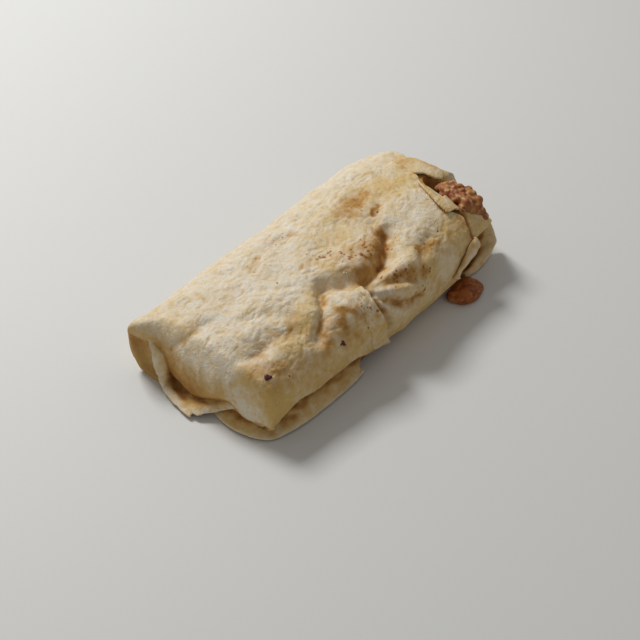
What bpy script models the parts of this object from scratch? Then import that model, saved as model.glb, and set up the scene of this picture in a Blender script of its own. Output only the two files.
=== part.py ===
"""Burrito: a rolled wheat tortilla, its bean filling and a spilled spoonful of it.

Lengths are in millimetres up to the meshes, which are in metres. +X runs along
the roll from its folded near end to its open far end, +Y is its back, -Y its
front, and it lies on z = 0. Round a section, v is the distance from the crown,
+ towards the back.
"""

import math

import bmesh
import bpy
import numpy as np

MM = 0.001

# Driving dimensions of the roll: back, front and height at stations along it
STATION_X = (-80, -60, -30, 0, 40, 75, 92)
BACK_Y = (45.0, 45.0, 44.3, 43.5, 44.5, 44.0, 40.0)
FRONT_Y = (-39.5, -41.0, -42.5, -43.5, -43.5, -42.0, -37.0)
TOP_Z = (35.0, 38.0, 40.0, 41.0, 42.5, 40.0, 36.0)
BELLY = 0.42             # widest level, as a share of the height
TOP_ROUND = 2.7          # squareness of the upper half of the section
FOOT_ROUND = 3.4         # squareness of the lower half
SINK = 0.5               # how much of the foot is pressed flat

SHEET = 2.0              # one layer of tortilla
WALL = 8.0               # the layers round the filling together
GAP = 1.0                # clearance between separate pieces
CAVITY_NEAR_X = -70.0    # inner end of the hollow that the filling takes
CAVITY_POLE = (-70.0, 2.0, 18.0)
CAVITY_FRONT = 4.0       # extra wall behind the open front seam

FOOT_ANGLE = -132.0      # where the section's foot turns into the bottom lip
CROWN_SHARE = 0.28       # share of the ring between the seam's edge and the crown
SKIN_STATIONS = 60       # grain of the look-up that shares out each section
SKIN_STEPS = 256

# Open front seam: the top layer's free edge hangs above the bottom layer's lip
SEAM_X = (-84, -80, -74, -67, -59, -47, -36, -26, -14, 92)
SEAM_Z = (7.5, 8.0, 10.0, 12.0, 11.0, 9.0, 7.5, 6.5, 8.0, 8.0)
SEAM_OPEN = (-22.0, -12.0)          # the seam closes between these two stations
SEAM_DEPTH = 6.0
SEAM_GAP = 1.4                      # from the lip's upper face to the notch's floor
SEAM_STEPS = (0.0, 0.2, 0.3, 0.4, 0.62, 0.78, 0.93, 1.0)   # foot, lip, notch, edge
LIP_NOSE = 0.6                      # the lip's edge is rounded over this much
EDGE_BEVEL = (1.8, 1.2)             # the top layer's edge, across and up
LIP_X = (-85, -80, -73, -60, -34, -25, -20, -14)
LIP_Y = (-37.5, -40.0, -42.3, -43.8, -44.3, -43.5, -37.5, -36.0)

# Near end: the rim of the draped top layer, the wall's edge and the floor's edge,
# by their distance round the section from the crown (+ towards the back)
NEAR_V = (-58, -50, -42, -34, -20, -8, 3, 11, 19, 29, 40, 50, 62, 76, 88, 104, 120, 134, 150)
NEAR_X = (-84, -85, -86, -87, -88, -90.5, -91.5, -92, -92, -92, -92, -91.5, -91.5, -91, -91,
          -88, -85, -83, -82)
NEAR_Y = (-40, -38.5, -35, -29, -17, -5, 5, 13, 21, 31, 39.5, 43, 41, 36, 24, 9, -8, -20, -31)
NEAR_Z = (8, 9, 11, 13.5, 15, 11.5, 10, 13, 18, 22.5, 25, 20, 8, -SINK, -SINK, -SINK, -SINK, -SINK,
          -SINK)
RECESS_Y = (-40, 14, 26, 45)
RECESS_X = (-83.5, -84.0, -88.0, -88.5)
RECESS_RINGS = ((0.22, 0.94), (0.12, 0.7), (0.04, 0.25))   # shares of the way to the pole
NEAR_POLE = (-84.0, 2.0, 4.6)
NEAR_CORNER = ((-82, -33, 0), (-82, -33.5, 1.5), (-82.5, -33, 3), (-83, -33, 5), (-83.2, -37.5, 5.8))
NEAR_CORNER_STEPS = (0.2, 0.35, 0.6, 0.75, 0.92)
NEAR_ROUND = 2.3         # how squarely each end turns in
FAR_ROUND = 2.6

# Far end: the outer layer's rim, then the mouth through which the filling shows
FAR_V = (-70, -54, -48, -43, -35, -29, -22, -15, -5, 1, 8, 19, 40, 60, 85, 120, 160)
FAR_X = (51, 50, 55, 61, 62, 57.5, 57.5, 60, 65, 71, 74, 84, 86, 85, 83, 78, 62)
MOUTH_V = (-62, -50, -40, -30, -20, -8, 2, 12, 30, 50, 75, 110, 150)
MOUTH_X = (88.5, 87.5, 84, 78, 73.5, 73.5, 76.5, 82, 87, 89, 90, 90, 89)
MOUTH_Y = (-30, -34, -36, -31, -20, -9, 2, 6.5, 5, 1, -4, -16, -26)
MOUTH_Z = (18, 19, 23, 30, 34.5, 36, 37, 36.5, 33.5, 28, 22.5, 18.5, 17.5)
MOUTH_CENTRE = (82.5, -16.5, 27.0)
MOUTH_NORMAL = (0.6, -0.08, 0.8)
LINING = 1.5             # the mouth's rim slants in by this much below its edge

# Creases of the top layer: (depth, half width, points as distance along and round)
CREASES = (
    (6.0, 5.0, ((33, -4), (25, -11), (20, -18), (14, -25), (5, -29), (-8, -30))),
    (2.0, 6.5, ((-10, -30), (-19, -22), (-28, -21), (-36, -29), (-48, -34))),
    (2.2, 4.0, ((-7, -38), (0, -43), (9, -45), (19, -47))),
    (1.1, 3.5, ((35, -33), (28, -33), (21, -35))),
    (1.2, 5.0, ((-71, -23), (-62, -22), (-53, -27))),
    (1.0, 3.5, ((-80, -19), (-74, -23))),
    (1.4, 3.0, ((-92, 15), (-85, 6))),
)
# Swellings: (height, place along, place round, half length, half breadth, turn in degrees)
SWELLS = (
    (3.4, -3, -17, 16, 9, -20),
    (2.2, 27, -24, 14, 6, -38),
    (2.6, 8, -37, 12, 4.5, -18),
    (2.2, -26, -36, 9, 9, 0),
    (1.6, 4, -49, 14, 4, -12),
    (1.5, 52, -10, 20, 14, 0),
    (1.2, -55, -8, 26, 16, 0),
    (1.2, -72, -35, 10, 8, 0),
    (-1.2, 38, 12, 12, 9, 0),
    (1.0, 10, 12, 24, 10, 0),
)

# Tuck flap of the near end: root, trough and rim, from its pointed top to its last fold
FLAP_ROOT = ((-86.5, 33, 20), (-85, 30, 13), (-84, 25, 7.5), (-83, 16, 5.5), (-82, 6, 6),
             (-82, -4, 8), (-82, -12, 9.5), (-82, -19, 10.5))
FLAP_TROUGH = ((-88, 33, 20.5), (-90, 29.5, 13), (-90.5, 25, 7), (-91.5, 17, 4.6),
               (-92, 7, 4.2), (-91, -3, 5.2), (-88.5, -11, 7.2), (-85, -18, 9.2))
FLAP_RIM = ((-89.5, 33.5, 23), (-92, 29, 15), (-93.5, 26, 9), (-96, 18, 5.2), (-98.5, 8, 4),
            (-97.5, -3, 4), (-92.5, -11, 6.6), (-87, -18, 8.8))
# Bottom layer's lip round the near front corner, flat on the floor
CORNER_ROOT = ((-80, -4, 1), (-80, -12, 1), (-79, -20, 1), (-77, -27, 1), (-74, -31, 1.2),
               (-68, -34, 1.2))
CORNER_RIM = ((-88, -5, 0.7), (-90, -14, 0.7), (-90, -24, 0.7), (-87.5, -33, 0.7),
              (-82, -39, 0.8), (-70, -42.8, 0.9))
# Torn flap across the mouth's front edge, and the pointed fold on the far front corner
TORN_ROOT = ((66, 1, 39.2), (61, -10, 38.8), (57, -19, 37), (56, -28, 34))
TORN_RIM = ((71, 0, 40.5), (68.5, -10, 40.3), (72, -17, 39.8), (66, -27, 37.5))
FOLD_ROOT = ((57, -35.5, 0.6), (53, -39, 8), (54, -41, 14), (57, -41.5, 19), (62, -41, 23),
             (66, -40.5, 25))
FOLD_RIM = ((60, -37.5, 0.6), (63, -40.5, 5), (66, -43.2, 10), (71, -44.6, 13), (71, -44.4, 18),
            (67, -43, 25.5))

# Filling: the mound that swells out of the mouth
MOUND_RISE = 8.0
MOUND_HOLLOW = (-6.0, 6.0)          # the beans sink away between these two y
MOUND_LUMPS = 7
LUMP_SHARE = 0.08
BLOB_CENTRE = (52.0, -46.0)
BLOB_RADII = (10.3, 8.2)
BLOB_HEIGHT = 8.0
BLOB_WAVES = ((3, 1.0, 0.08), (5, 0.0, 0.05))   # lobes round it, their turn and size
BLOB_FLANK = (53.0, 58.0, 2.6)                  # it stays clear of the pointed fold's foot

TORTILLA_COLOUR = (0.72, 0.55, 0.36)
FILLING_COLOUR = (0.33, 0.13, 0.07)
SPILL_COLOUR = (0.30, 0.09, 0.04)

AROUND_OUTER = 150       # segments of a ring from the seam's edge round to the foot
AROUND_SEAM = 30         # segments through the seam
MAIN_RINGS = 120
CAP_RINGS = 16
HOLLOW_RINGS = 12
VOXEL = 0.8              # grain at which the layers are fused into one solid
TORTILLA_RATIO = 0.026   # share of the fused solid's faces that are kept
FILLING_AROUND = 48
MOUND_RINGS = 8
BLOB_AROUND = 20
BLOB_LEVELS = 8
FLOOR_BLOCK = (300, 200, 20)


def smooth(x, knots, values):
    """Cubic curve through a few knots, held level beyond its ends."""
    knots = np.asarray(knots, float)
    values = np.asarray(values, float)
    slopes = np.gradient(values, knots)
    x = np.clip(x, knots[0], knots[-1])
    i = np.clip(np.searchsorted(knots, x) - 1, 0, len(knots) - 2)
    span = knots[i + 1] - knots[i]
    t = (x - knots[i]) / span
    rise = values[i] * (1 + 2 * t) * (1 - t) ** 2 + values[i + 1] * t * t * (3 - 2 * t)
    return rise + span * t * (1 - t) * (slopes[i] * (1 - t) - slopes[i + 1] * t)


def ease(x, low, high):
    """0 below low, 1 above high, smooth between."""
    t = np.clip((np.asarray(x, float) - low) / (high - low), 0, 1)
    return t * t * (3 - 2 * t)


def section(x, angle, inset=0.0, front_inset=0.0):
    """Section of the roll; angle 0 is the back wall, 90 the crown, 180 the front wall."""
    back = smooth(x, STATION_X, BACK_Y) - inset
    front = smooth(x, STATION_X, FRONT_Y) + inset + front_inset
    top = smooth(x, STATION_X, TOP_Z)
    belly = BELLY * top
    c, s = np.cos(angle), np.sin(angle)
    power = np.where(s >= 0, 2 / TOP_ROUND, 2 / FOOT_ROUND)
    y = (back + front) / 2 + (back - front) / 2 * np.sign(c) * np.abs(c) ** power
    up = top - inset - belly
    down = belly - inset
    z = belly + np.where(s >= 0, up, -down) * np.abs(s) ** power
    return y, np.maximum(z - SINK, inset - SINK)


def wall_y(x, z):
    """Front wall's y at a height below its widest level."""
    back, front = smooth(x, STATION_X, BACK_Y), smooth(x, STATION_X, FRONT_Y)
    belly = BELLY * smooth(x, STATION_X, TOP_Z)
    drop = np.clip((belly - z - SINK) / belly, 0, 1)
    return (back + front) / 2 - (back - front) / 2 * (1 - drop ** FOOT_ROUND) ** (1 / FOOT_ROUND)


class Skin:
    """The roll's outer surface, by distance along x and share u round each section.

    u runs from the seam's edge (0) over the crown and the back to the foot (1).
    """

    def __init__(self):
        self.x = np.linspace(STATION_X[0], STATION_X[-1], SKIN_STATIONS)
        self.u = np.linspace(0, 1, SKIN_STEPS)
        self.angle, self.v = [], []
        for x in self.x:
            low_front = np.linspace(math.pi, 1.3 * math.pi, 4 * SKIN_STEPS)
            level = section(x, low_front)[1]
            edge = np.interp(-smooth(x, SEAM_X, SEAM_Z), -level, low_front)
            angle, v = [], []
            runs = ((edge, math.pi / 2, 0, CROWN_SHARE),
                    (math.pi / 2, math.radians(FOOT_ANGLE), CROWN_SHARE, 1))
            for start, end, low, high in runs:
                a = np.linspace(start, end, 4 * SKIN_STEPS)
                y, z = section(x, a)
                run = np.concatenate(([0], np.cumsum(np.hypot(np.diff(y), np.diff(z)))))
                share = (self.u[(self.u >= low) & (self.u < high + 1e-9)] - low) / (high - low)
                if low:
                    share = share[share > 0]
                angle.append(np.interp(share * run[-1], run, a))
                v.append(share * run[-1] - (0 if low else run[-1]))
            self.angle.append(np.concatenate(angle))
            self.v.append(np.concatenate(v))
        self.angle, self.v = np.array(self.angle), np.array(self.v)

    def read(self, table, x, u):
        """Value at x and u of one of the tables, angle or v."""
        i = np.clip((x - self.x[0]) / (self.x[1] - self.x[0]), 0, len(self.x) - 1.001)
        j = np.clip(u / (self.u[1] - self.u[0]), 0, len(self.u) - 1.001)
        a, b = i.astype(int), j.astype(int)
        p, q = i - a, j - b
        near = table[a, b] * (1 - q) + table[a, b + 1] * q
        far = table[a + 1, b] * (1 - q) + table[a + 1, b + 1] * q
        return near * (1 - p) + far * p

    def point(self, x, u, inset=0.0):
        """Points of the surface, moved in by inset and dressed with the creases, and their v."""
        x, u = np.broadcast_arrays(np.asarray(x, float), np.asarray(u, float))
        angle, v = self.read(self.angle, x, u), self.read(self.v, x, u)
        y, z = section(x, angle, inset)
        ya, za = section(x, angle - 0.01, inset)
        yb, zb = section(x, angle + 0.01, inset)
        length = np.maximum(np.hypot(yb - ya, zb - za), 1e-9)
        rise = relief(x, v)
        y = y + rise * (zb - za) / length
        z = z - rise * (yb - ya) / length
        return np.stack([x, y, np.maximum(z, inset - SINK)], -1), v


def relief(x, v):
    """Creases and swellings of the top layer, in millimetres outwards."""
    out = np.zeros_like(x)
    for height, cx, cv, along, across, turn in SWELLS:
        c, s = math.cos(math.radians(turn)), math.sin(math.radians(turn))
        p = ((x - cx) * c + (v - cv) * s) / along
        q = (-(x - cx) * s + (v - cv) * c) / across
        out += height * np.exp(-(p * p + q * q))
    for depth, half, points in CREASES:
        nearest = np.full_like(x, 1e9)
        for (ax, av), (bx, bv) in zip(points, points[1:]):
            dx, dv = bx - ax, bv - av
            t = np.clip(((x - ax) * dx + (v - av) * dv) / (dx * dx + dv * dv), 0, 1)
            nearest = np.minimum(nearest, np.hypot(x - ax - t * dx, v - av - t * dv))
        out -= depth * np.exp(-((nearest / half) ** 2))
    return out


def seam_run(x, edge, foot, q):
    """The open seam from the foot (q = 0) round the lip and the notch to the edge (q = 1)."""
    lip = smooth(x, LIP_X, LIP_Y)
    floor = SHEET + SEAM_GAP
    across, up = EDGE_BEVEL
    corners = (
        (foot[1], foot[2]),
        (lip + LIP_NOSE, -SINK),
        (lip, SHEET / 3),
        (lip + LIP_NOSE, SHEET),
        (edge[1] + SEAM_DEPTH, floor),
        (edge[1] + SEAM_DEPTH, max(edge[2] - across, floor)),
        (edge[1] + across, edge[2] - up),
        (edge[1], edge[2]),
    )
    y, z = np.zeros_like(q), np.zeros_like(q)
    for k, (start, end) in enumerate(zip(corners, corners[1:])):
        t = (q - SEAM_STEPS[k]) / (SEAM_STEPS[k + 1] - SEAM_STEPS[k])
        inside = (t >= 0) & (t <= 1)
        y = np.where(inside, start[0] + (end[0] - start[0]) * t, y)
        z = np.where(inside, start[1] + (end[1] - start[1]) * t, z)
    return np.stack([x, y, z], -1)


def cap(start, end, turn, power):
    """Rounded run from one ring to another: along x first, then across."""
    s = np.sin(turn * math.pi / 2) ** (2 / power)
    c = np.cos(turn * math.pi / 2) ** (2 / power)
    out = end + (start - end) * c
    out[..., 0] = start[..., 0] + (end[..., 0] - start[..., 0]) * s
    return out


def by_v(v, knots, columns):
    return np.stack([smooth(v, knots, column) for column in columns], -1)


def towards(points, centre):
    """Unit vectors from each point to a centre."""
    way = centre - points
    return way / np.maximum(np.linalg.norm(way, axis=-1, keepdims=True), 1e-9)


def ring_steps():
    """Shares of a ring: u over the outside and q through the seam."""
    return np.linspace(0, 1, AROUND_OUTER + 1), np.arange(1, AROUND_SEAM) / AROUND_SEAM


def main_rings(skin, far_x):
    """Rings from the near end's shoulder to the outer layer's far rim."""
    u, q = ring_steps()
    closed_x = np.interp(q, (0, 1), (far_x[-1], far_x[0]))
    rings = []
    for s in np.linspace(0, 1, MAIN_RINGS):
        x = STATION_X[0] + (far_x - STATION_X[0]) * s
        top, _ = skin.point(x, u)
        xs = STATION_X[0] + (closed_x - STATION_X[0]) * s
        open_run = seam_run(xs, top[0], top[-1], q)
        ends = (math.radians(360 + FOOT_ANGLE), skin.read(skin.angle, x[:1], u[:1])[0])
        flush = np.stack([xs, *section(xs, np.interp(q, (0, 1), ends))], -1)
        shut = ease(xs, *SEAM_OPEN)[:, None]
        rings.append(np.vstack([top, open_run * (1 - shut) + flush * shut]))
    return rings


def near_rings(skin, first):
    """Rings of the near end: the recess, its rim and the rounded run to the shoulder."""
    u, q = ring_steps()
    near_v = skin.point(np.full(len(u), float(STATION_X[0])), u)[1]
    rim = by_v(near_v, NEAR_V, (NEAR_X, NEAR_Y, NEAR_Z))
    run = np.vstack([rim[-1], NEAR_CORNER, rim[0]])
    steps = (0, *NEAR_CORNER_STEPS, 1)
    corner = np.stack([np.interp(q, steps, run[:, k]) for k in range(3)], -1)
    rim = np.vstack([rim, corner])
    turn_in = [cap(first, rim, t, NEAR_ROUND) for t in np.linspace(1, 0, CAP_RINGS + 1)[:-1]]

    pole = np.array(NEAR_POLE)
    across = np.roll(rim, -1, 0) - np.roll(rim, 1, 0)
    inward = np.stack([0 * across[:, 0], across[:, 2], -across[:, 1]], -1)
    inward /= np.linalg.norm(inward, axis=1, keepdims=True)
    inner = rim + inward * (SHEET + SINK) + np.array((SHEET / 2, 0, 0))
    inner[len(u):] = corner + (pole - corner) * 0.06
    recess = []
    for across_share, up_share in RECESS_RINGS:
        ring = inner + (pole - inner) * np.array((0, across_share, up_share))
        ring[:, 0] = np.interp(ring[:, 1], RECESS_Y, RECESS_X)
        recess.append(ring)
    return recess + [inner] + turn_in


def far_rings(skin, far_v, far_x, last):
    """Rings of the far end: the step down to the inner layer and in to the mouth."""
    u, q = ring_steps()
    step = np.vstack([skin.point(far_x, u, inset=SHEET)[0], last[len(u):]])
    step[len(u):, 1] += SHEET
    step[..., 0] += SHEET / 4
    mouth = by_v(far_v, MOUTH_V, (MOUTH_X, MOUTH_Y, MOUTH_Z))
    link = np.stack([np.interp(q, (0, 1), (mouth[-1][k], mouth[0][k])) for k in range(3)], -1)
    mouth = np.vstack([mouth, link])
    turn_in = [cap(step, mouth, t, FAR_ROUND) for t in np.linspace(0, 1, CAP_RINGS + 1)[1:]]
    inner = mouth + towards(mouth, np.array(MOUTH_CENTRE)) * LINING
    return [step] + turn_in + [inner - np.array(MOUTH_NORMAL) * SHEET]


def wrap_rings(skin):
    """Rings of the tortilla from the near recess over the outside to the far mouth."""
    u, _ = ring_steps()
    far_v = skin.point(np.full(len(u), 80.0), u)[1]
    far_x = smooth(far_v, FAR_V, FAR_X)
    main = main_rings(skin, far_x)
    return near_rings(skin, main[0]) + main + far_rings(skin, far_v, far_x, main[-1])


def hollow_rings(skin, mouth):
    """Rings of the hollow, from just behind the mouth to its near end."""
    u, q = ring_steps()
    start_x = mouth[:, 0] - 5.0
    rings = []
    for s in np.linspace(0, 1, HOLLOW_RINGS):
        x = start_x + (CAVITY_NEAR_X - start_x) * s
        front = CAVITY_FRONT * (1 - ease(x, -16, 4))
        angle = skin.read(skin.angle, x[:len(u)], u)
        closing = angle[-1] + 2 * math.pi + (angle[0] - angle[-1] - 2 * math.pi) * q
        angle = np.concatenate([angle, closing])
        rings.append(np.stack([x, *section(x, angle, WALL, front)], -1))
    rings.append(rings[-1] + (np.array(CAVITY_POLE) - rings[-1]) * 0.45)
    return rings


def round_mesh(bm, rings, first_pole, last_pole):
    """Closed surface whose parallels are the given rings, from a sphere's."""
    count, around = rings.shape[:2]
    made = bmesh.ops.create_uvsphere(bm, u_segments=around, v_segments=count + 1, radius=1)
    for vert in made["verts"]:
        polar = math.acos(max(-1.0, min(1.0, vert.co.z)))
        i = round(polar / math.pi * (count + 1)) - 1
        j = round(math.atan2(vert.co.y, vert.co.x) / (2 * math.pi) * around) % around
        place = first_pole if i < 0 else last_pole if i >= count else rings[i, j]
        vert.co = [float(c) * MM for c in place]
    faces = list({f for v in made["verts"] for f in v.link_faces})
    bmesh.ops.recalc_face_normals(bm, faces=faces)
    if bm.calc_volume(signed=True) < 0:
        bmesh.ops.reverse_faces(bm, faces=faces)


def sheet(bm, rows, along, across):
    """Sheet of tortilla lofted through rows of points, as thick as one layer."""
    made = bmesh.ops.create_grid(bm, x_segments=along, y_segments=across, size=0.5)
    rows = np.array(rows, float)
    columns, levels = np.arange(rows.shape[1]), np.arange(rows.shape[0])
    for vert in made["verts"]:
        p = (vert.co.x + 0.5) * columns[-1]
        q = (vert.co.y + 0.5) * levels[-1]
        vert.co = [float(smooth(q, levels, [smooth(p, columns, row[:, k]) for row in rows])) * MM
                   for k in range(3)]
    faces = list({f for v in made["verts"] for f in v.link_faces})
    bmesh.ops.recalc_face_normals(bm, faces=faces)
    bmesh.ops.solidify(bm, geom=faces, thickness=SHEET * MM)


def solid(name, bm, parts, colour, roughness):
    """Object of its own from a finished bmesh, with its material."""
    mesh = bpy.data.meshes.new(name)
    bm.to_mesh(mesh)
    bm.free()
    mesh.materials.append(material(name + "_finish", colour, roughness))
    obj = bpy.data.objects.new(name, mesh)
    parts.objects.link(obj)
    return obj


def material(name, colour, roughness):
    mat = bpy.data.materials.new(name)
    mat.use_nodes = True
    bsdf = mat.node_tree.nodes["Principled BSDF"]
    bsdf.inputs["Base Color"].default_value = (*colour, 1)
    bsdf.inputs["Roughness"].default_value = roughness
    bsdf.inputs["Metallic"].default_value = 0.0
    return mat


def tortilla(skin, parts, floor):
    """The wrap with its folds, fused into one solid and pressed flat underneath."""
    bm = bmesh.new()
    wrap = wrap_rings(skin)
    round_mesh(bm, np.array(wrap + hollow_rings(skin, wrap[-1])), NEAR_POLE, CAVITY_POLE)
    sheet(bm, (FLAP_ROOT, FLAP_TROUGH, FLAP_RIM), 48, 12)
    sheet(bm, (CORNER_ROOT, CORNER_RIM), 40, 10)
    sheet(bm, (TORN_ROOT, TORN_RIM), 30, 10)
    sheet(bm, (FOLD_ROOT, FOLD_RIM), 30, 8)
    obj = solid("tortilla", bm, parts, TORTILLA_COLOUR, 0.75)
    fuse = obj.modifiers.new("fuse", "REMESH")
    fuse.mode = "VOXEL"
    fuse.voxel_size = VOXEL * MM
    thin = obj.modifiers.new("thin_out", "DECIMATE")
    thin.ratio = TORTILLA_RATIO
    press = obj.modifiers.new("press_flat", "BOOLEAN")
    press.operation = "DIFFERENCE"
    press.solver = "EXACT"
    press.object = floor
    return obj


def filling(skin, parts):
    """Beans that run through the roll and swell out of its mouth."""
    mouth, inner_mouth = wrap_rings(skin)[-2:]
    centre, out = np.array(MOUTH_CENTRE), np.array(MOUTH_NORMAL)
    throat = mouth + towards(mouth, centre) * (LINING + 1.6 * GAP) - out * SHEET
    neck = mouth + towards(mouth, centre) * (LINING + 0.6 * GAP)
    hollow = hollow_rings(skin, inner_mouth)[::-1]
    rings = []
    for k, ring in enumerate(hollow):
        inwards = np.array(CAVITY_POLE) - ring
        inwards[:, 0] = 0
        inwards *= GAP / np.maximum(np.linalg.norm(inwards, axis=1, keepdims=True), 1e-9)
        last = len(hollow) - 1
        inwards[:, 0] = np.interp(k, (1, 2, last - 2, last), (1.2 * GAP, 0, 0, -1.5 * GAP))
        rings.append(ring + inwards)
    rings += [throat, neck]
    for share in np.linspace(0, 1, MOUND_RINGS + 2)[1:-1] ** 0.7:
        spread = math.sqrt(1 - share * share)
        angle = np.arctan2(*(neck - centre)[:, 1:].T)
        lump = 1 + LUMP_SHARE * np.sin(MOUND_LUMPS * angle + 9 * share) * ease(share, 0.15, 0.5)
        ring = centre + (neck - centre) * (spread * lump)[:, None]
        rise = MOUND_RISE * share * (1 - 0.9 * ease(ring[:, 1], *MOUND_HOLLOW))
        rings.append(ring + out * rise[:, None])
    picked = np.round(np.linspace(0, rings[0].shape[0], FILLING_AROUND + 1)[:-1]).astype(int)
    bm = bmesh.new()
    round_mesh(bm, np.array(rings)[:, picked], np.array(CAVITY_POLE) + (1.2 * GAP, 0, 0),
               centre + out * MOUND_RISE * 0.96)
    return solid("filling", bm, parts, FILLING_COLOUR, 0.55)


def spilled(parts):
    """Spoonful of filling that has dropped beside the far end."""
    a = np.arange(BLOB_AROUND) / BLOB_AROUND * 2 * math.pi
    uneven = 1 + sum(size * np.sin(lobes * a + turn) for lobes, turn, size in BLOB_WAVES)
    low, high, more = BLOB_FLANK
    rings = []
    for k in range(1, BLOB_LEVELS):
        turn = math.pi * k / BLOB_LEVELS
        reach = math.sin(turn) ** 0.8 * uneven
        x = BLOB_CENTRE[0] + BLOB_RADII[0] * reach * np.cos(a)
        y = BLOB_CENTRE[1] + BLOB_RADII[1] * reach * np.sin(a)
        z = np.maximum(BLOB_HEIGHT * (0.3 + 0.7 * math.cos(turn)) + 0 * a, 0)
        clear = wall_y(x, z) - GAP - more * ease(x, low, high)
        rings.append(np.stack([x, np.minimum(y, clear), z], -1))
    bm = bmesh.new()
    top = (BLOB_CENTRE[0], BLOB_CENTRE[1] - GAP, BLOB_HEIGHT)
    round_mesh(bm, np.array(rings), top, (*BLOB_CENTRE, 0.0))
    return solid("spilled_filling", bm, parts, SPILL_COLOUR, 0.5)


def floor_cutter(guides):
    """Block under the roll that presses its foot flat at z = 0."""
    bm = bmesh.new()
    bmesh.ops.create_cube(bm, size=1)
    bmesh.ops.scale(bm, vec=[side * MM for side in FLOOR_BLOCK], verts=bm.verts)
    bmesh.ops.translate(bm, vec=(0, 0, -FLOOR_BLOCK[2] / 2 * MM), verts=bm.verts)
    mesh = bpy.data.meshes.new("floor_cutter")
    bm.to_mesh(mesh)
    bm.free()
    obj = bpy.data.objects.new("floor_cutter", mesh)
    guides.objects.link(obj)
    obj.hide_render = True
    obj.display_type = "WIRE"
    return obj


def main():
    for obj in list(bpy.data.objects):
        bpy.data.objects.remove(obj, do_unlink=True)
    parts = bpy.data.collections.new("burrito")
    guides = bpy.data.collections.new("guides")
    for collection in (parts, guides):
        bpy.context.scene.collection.children.link(collection)
    skin = Skin()
    tortilla(skin, parts, floor_cutter(guides))
    filling(skin, parts)
    spilled(parts)


main()
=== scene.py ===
import math

import bmesh
import bpy
import numpy as np
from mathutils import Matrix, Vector, noise


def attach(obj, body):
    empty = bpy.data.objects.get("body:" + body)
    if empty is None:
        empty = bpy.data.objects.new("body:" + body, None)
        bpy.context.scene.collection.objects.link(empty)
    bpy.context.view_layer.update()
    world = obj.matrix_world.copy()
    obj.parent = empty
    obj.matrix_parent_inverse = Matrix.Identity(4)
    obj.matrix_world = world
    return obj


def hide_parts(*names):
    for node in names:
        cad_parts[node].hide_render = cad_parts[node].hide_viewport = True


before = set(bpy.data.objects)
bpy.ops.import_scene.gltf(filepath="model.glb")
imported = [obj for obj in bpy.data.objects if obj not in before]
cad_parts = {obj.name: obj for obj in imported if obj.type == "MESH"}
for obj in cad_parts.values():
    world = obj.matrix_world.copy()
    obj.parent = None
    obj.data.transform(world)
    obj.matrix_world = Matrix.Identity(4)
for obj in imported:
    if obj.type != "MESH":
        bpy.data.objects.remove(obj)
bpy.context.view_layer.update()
scene = bpy.context.scene
mm = 0.001  # shapes below are in millimetres, finishes and studio in metres


# curves and noise

def curve(x, knots, values):
    knots, values = np.asarray(knots, float), np.asarray(values, float)
    slopes = np.gradient(values, knots)
    x = np.clip(x, knots[0], knots[-1])
    i = np.clip(np.searchsorted(knots, x) - 1, 0, len(knots) - 2)
    span = knots[i + 1] - knots[i]
    t = (x - knots[i]) / span
    level = values[i] * (1 + 2 * t) * (1 - t) ** 2 + values[i + 1] * t * t * (3 - 2 * t)
    return level + span * t * (1 - t) * (slopes[i] * (1 - t) - slopes[i + 1] * t)


def ease(x, low, high):
    t = np.clip((np.asarray(x, float) - low) / (high - low), 0, 1)
    return t * t * (3 - 2 * t)


def band(x, rise, fall, height=1):  # up over the one stretch and down over the other
    return height * ease(x, *rise) * (1 - ease(x, *fall))


def ripple(seed, a, b, cells=64):  # gradient noise over a plane, about -1 to 1
    turn = np.random.default_rng(seed).random((cells, cells)) * 2 * math.pi
    gx, gy = np.cos(turn), np.sin(turn)
    i, j = np.floor(a).astype(int), np.floor(b).astype(int)
    p, q = a - i, b - j
    s, t = p ** 3 * (p * (6 * p - 15) + 10), q ** 3 * (q * (6 * q - 15) + 10)

    def corner(m, n):
        k, l = (i + m) % cells, (j + n) % cells
        return gx[k, l] * (p - m) + gy[k, l] * (q - n)

    low = corner(0, 0) * (1 - s) + corner(1, 0) * s
    high = corner(0, 1) * (1 - s) + corner(1, 1) * s
    return 1.5 * (low * (1 - t) + high * t)


def warped(x, v, seed, push, wide):  # the same places pushed about
    return (x + push * ripple(seed, x / wide, v / wide),
            v + push * ripple(seed + 1, x / wide, v / wide))


def distanceTo(points, a, b):  # to a line through points on the plane
    points, nearest = np.reshape(points, (-1, 2)), np.full_like(a, 1e9)
    for (a0, b0), (a1, b1) in zip(points, points[1:]):
        da, db = a1 - a0, b1 - b0
        t = np.clip(((a - a0) * da + (b - b0) * db) / (da * da + db * db), 0, 1)
        nearest = np.minimum(nearest, np.hypot(a - a0 - t * da, b - b0 - t * db))
    return nearest


# the roll
# x runs along the roll; round it, v is the distance from the crown, + towards the back

roll = dict(
    stationX=(-80, -60, -30, 0, 40, 75, 92),
    backY=(45, 45, 44.3, 43.5, 44.5, 44, 40),
    frontY=(-39.5, -41, -42.5, -43.5, -43.5, -42, -37),
    topZ=(35, 38, 40, 41, 42.5, 40, 36),
    belly=0.42,  # widest level, as a share of the height
    topRound=2.7,  # squareness of the upper half
    footRound=3.4,  # and of the lower half
    sink=0.3,  # the foot is pressed flat by this much
    footAngle=-132,  # where the section ends under the front, in degrees
    crownShare=0.28,  # the crown is this far round from the free edge
    alongSteps=60, aroundSteps=256,  # grain of the table that shares out the skin
    sheet=2,  # thickness of one layer
    # height of the top layer's free edge along the front
    seamX=(-84, -80, -76, -70, -65, -61, -55, -48, -39, -31, -27, -22, -13, 92),
    seamZ=(7.5, 8.2, 12.3, 14.4, 15, 14.4, 13.7, 14.3, 14.3, 14.4, 13.4, 11.2, 8.2, 8),
    seamOpen=(-14, -8),  # it closes between these
)


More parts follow.
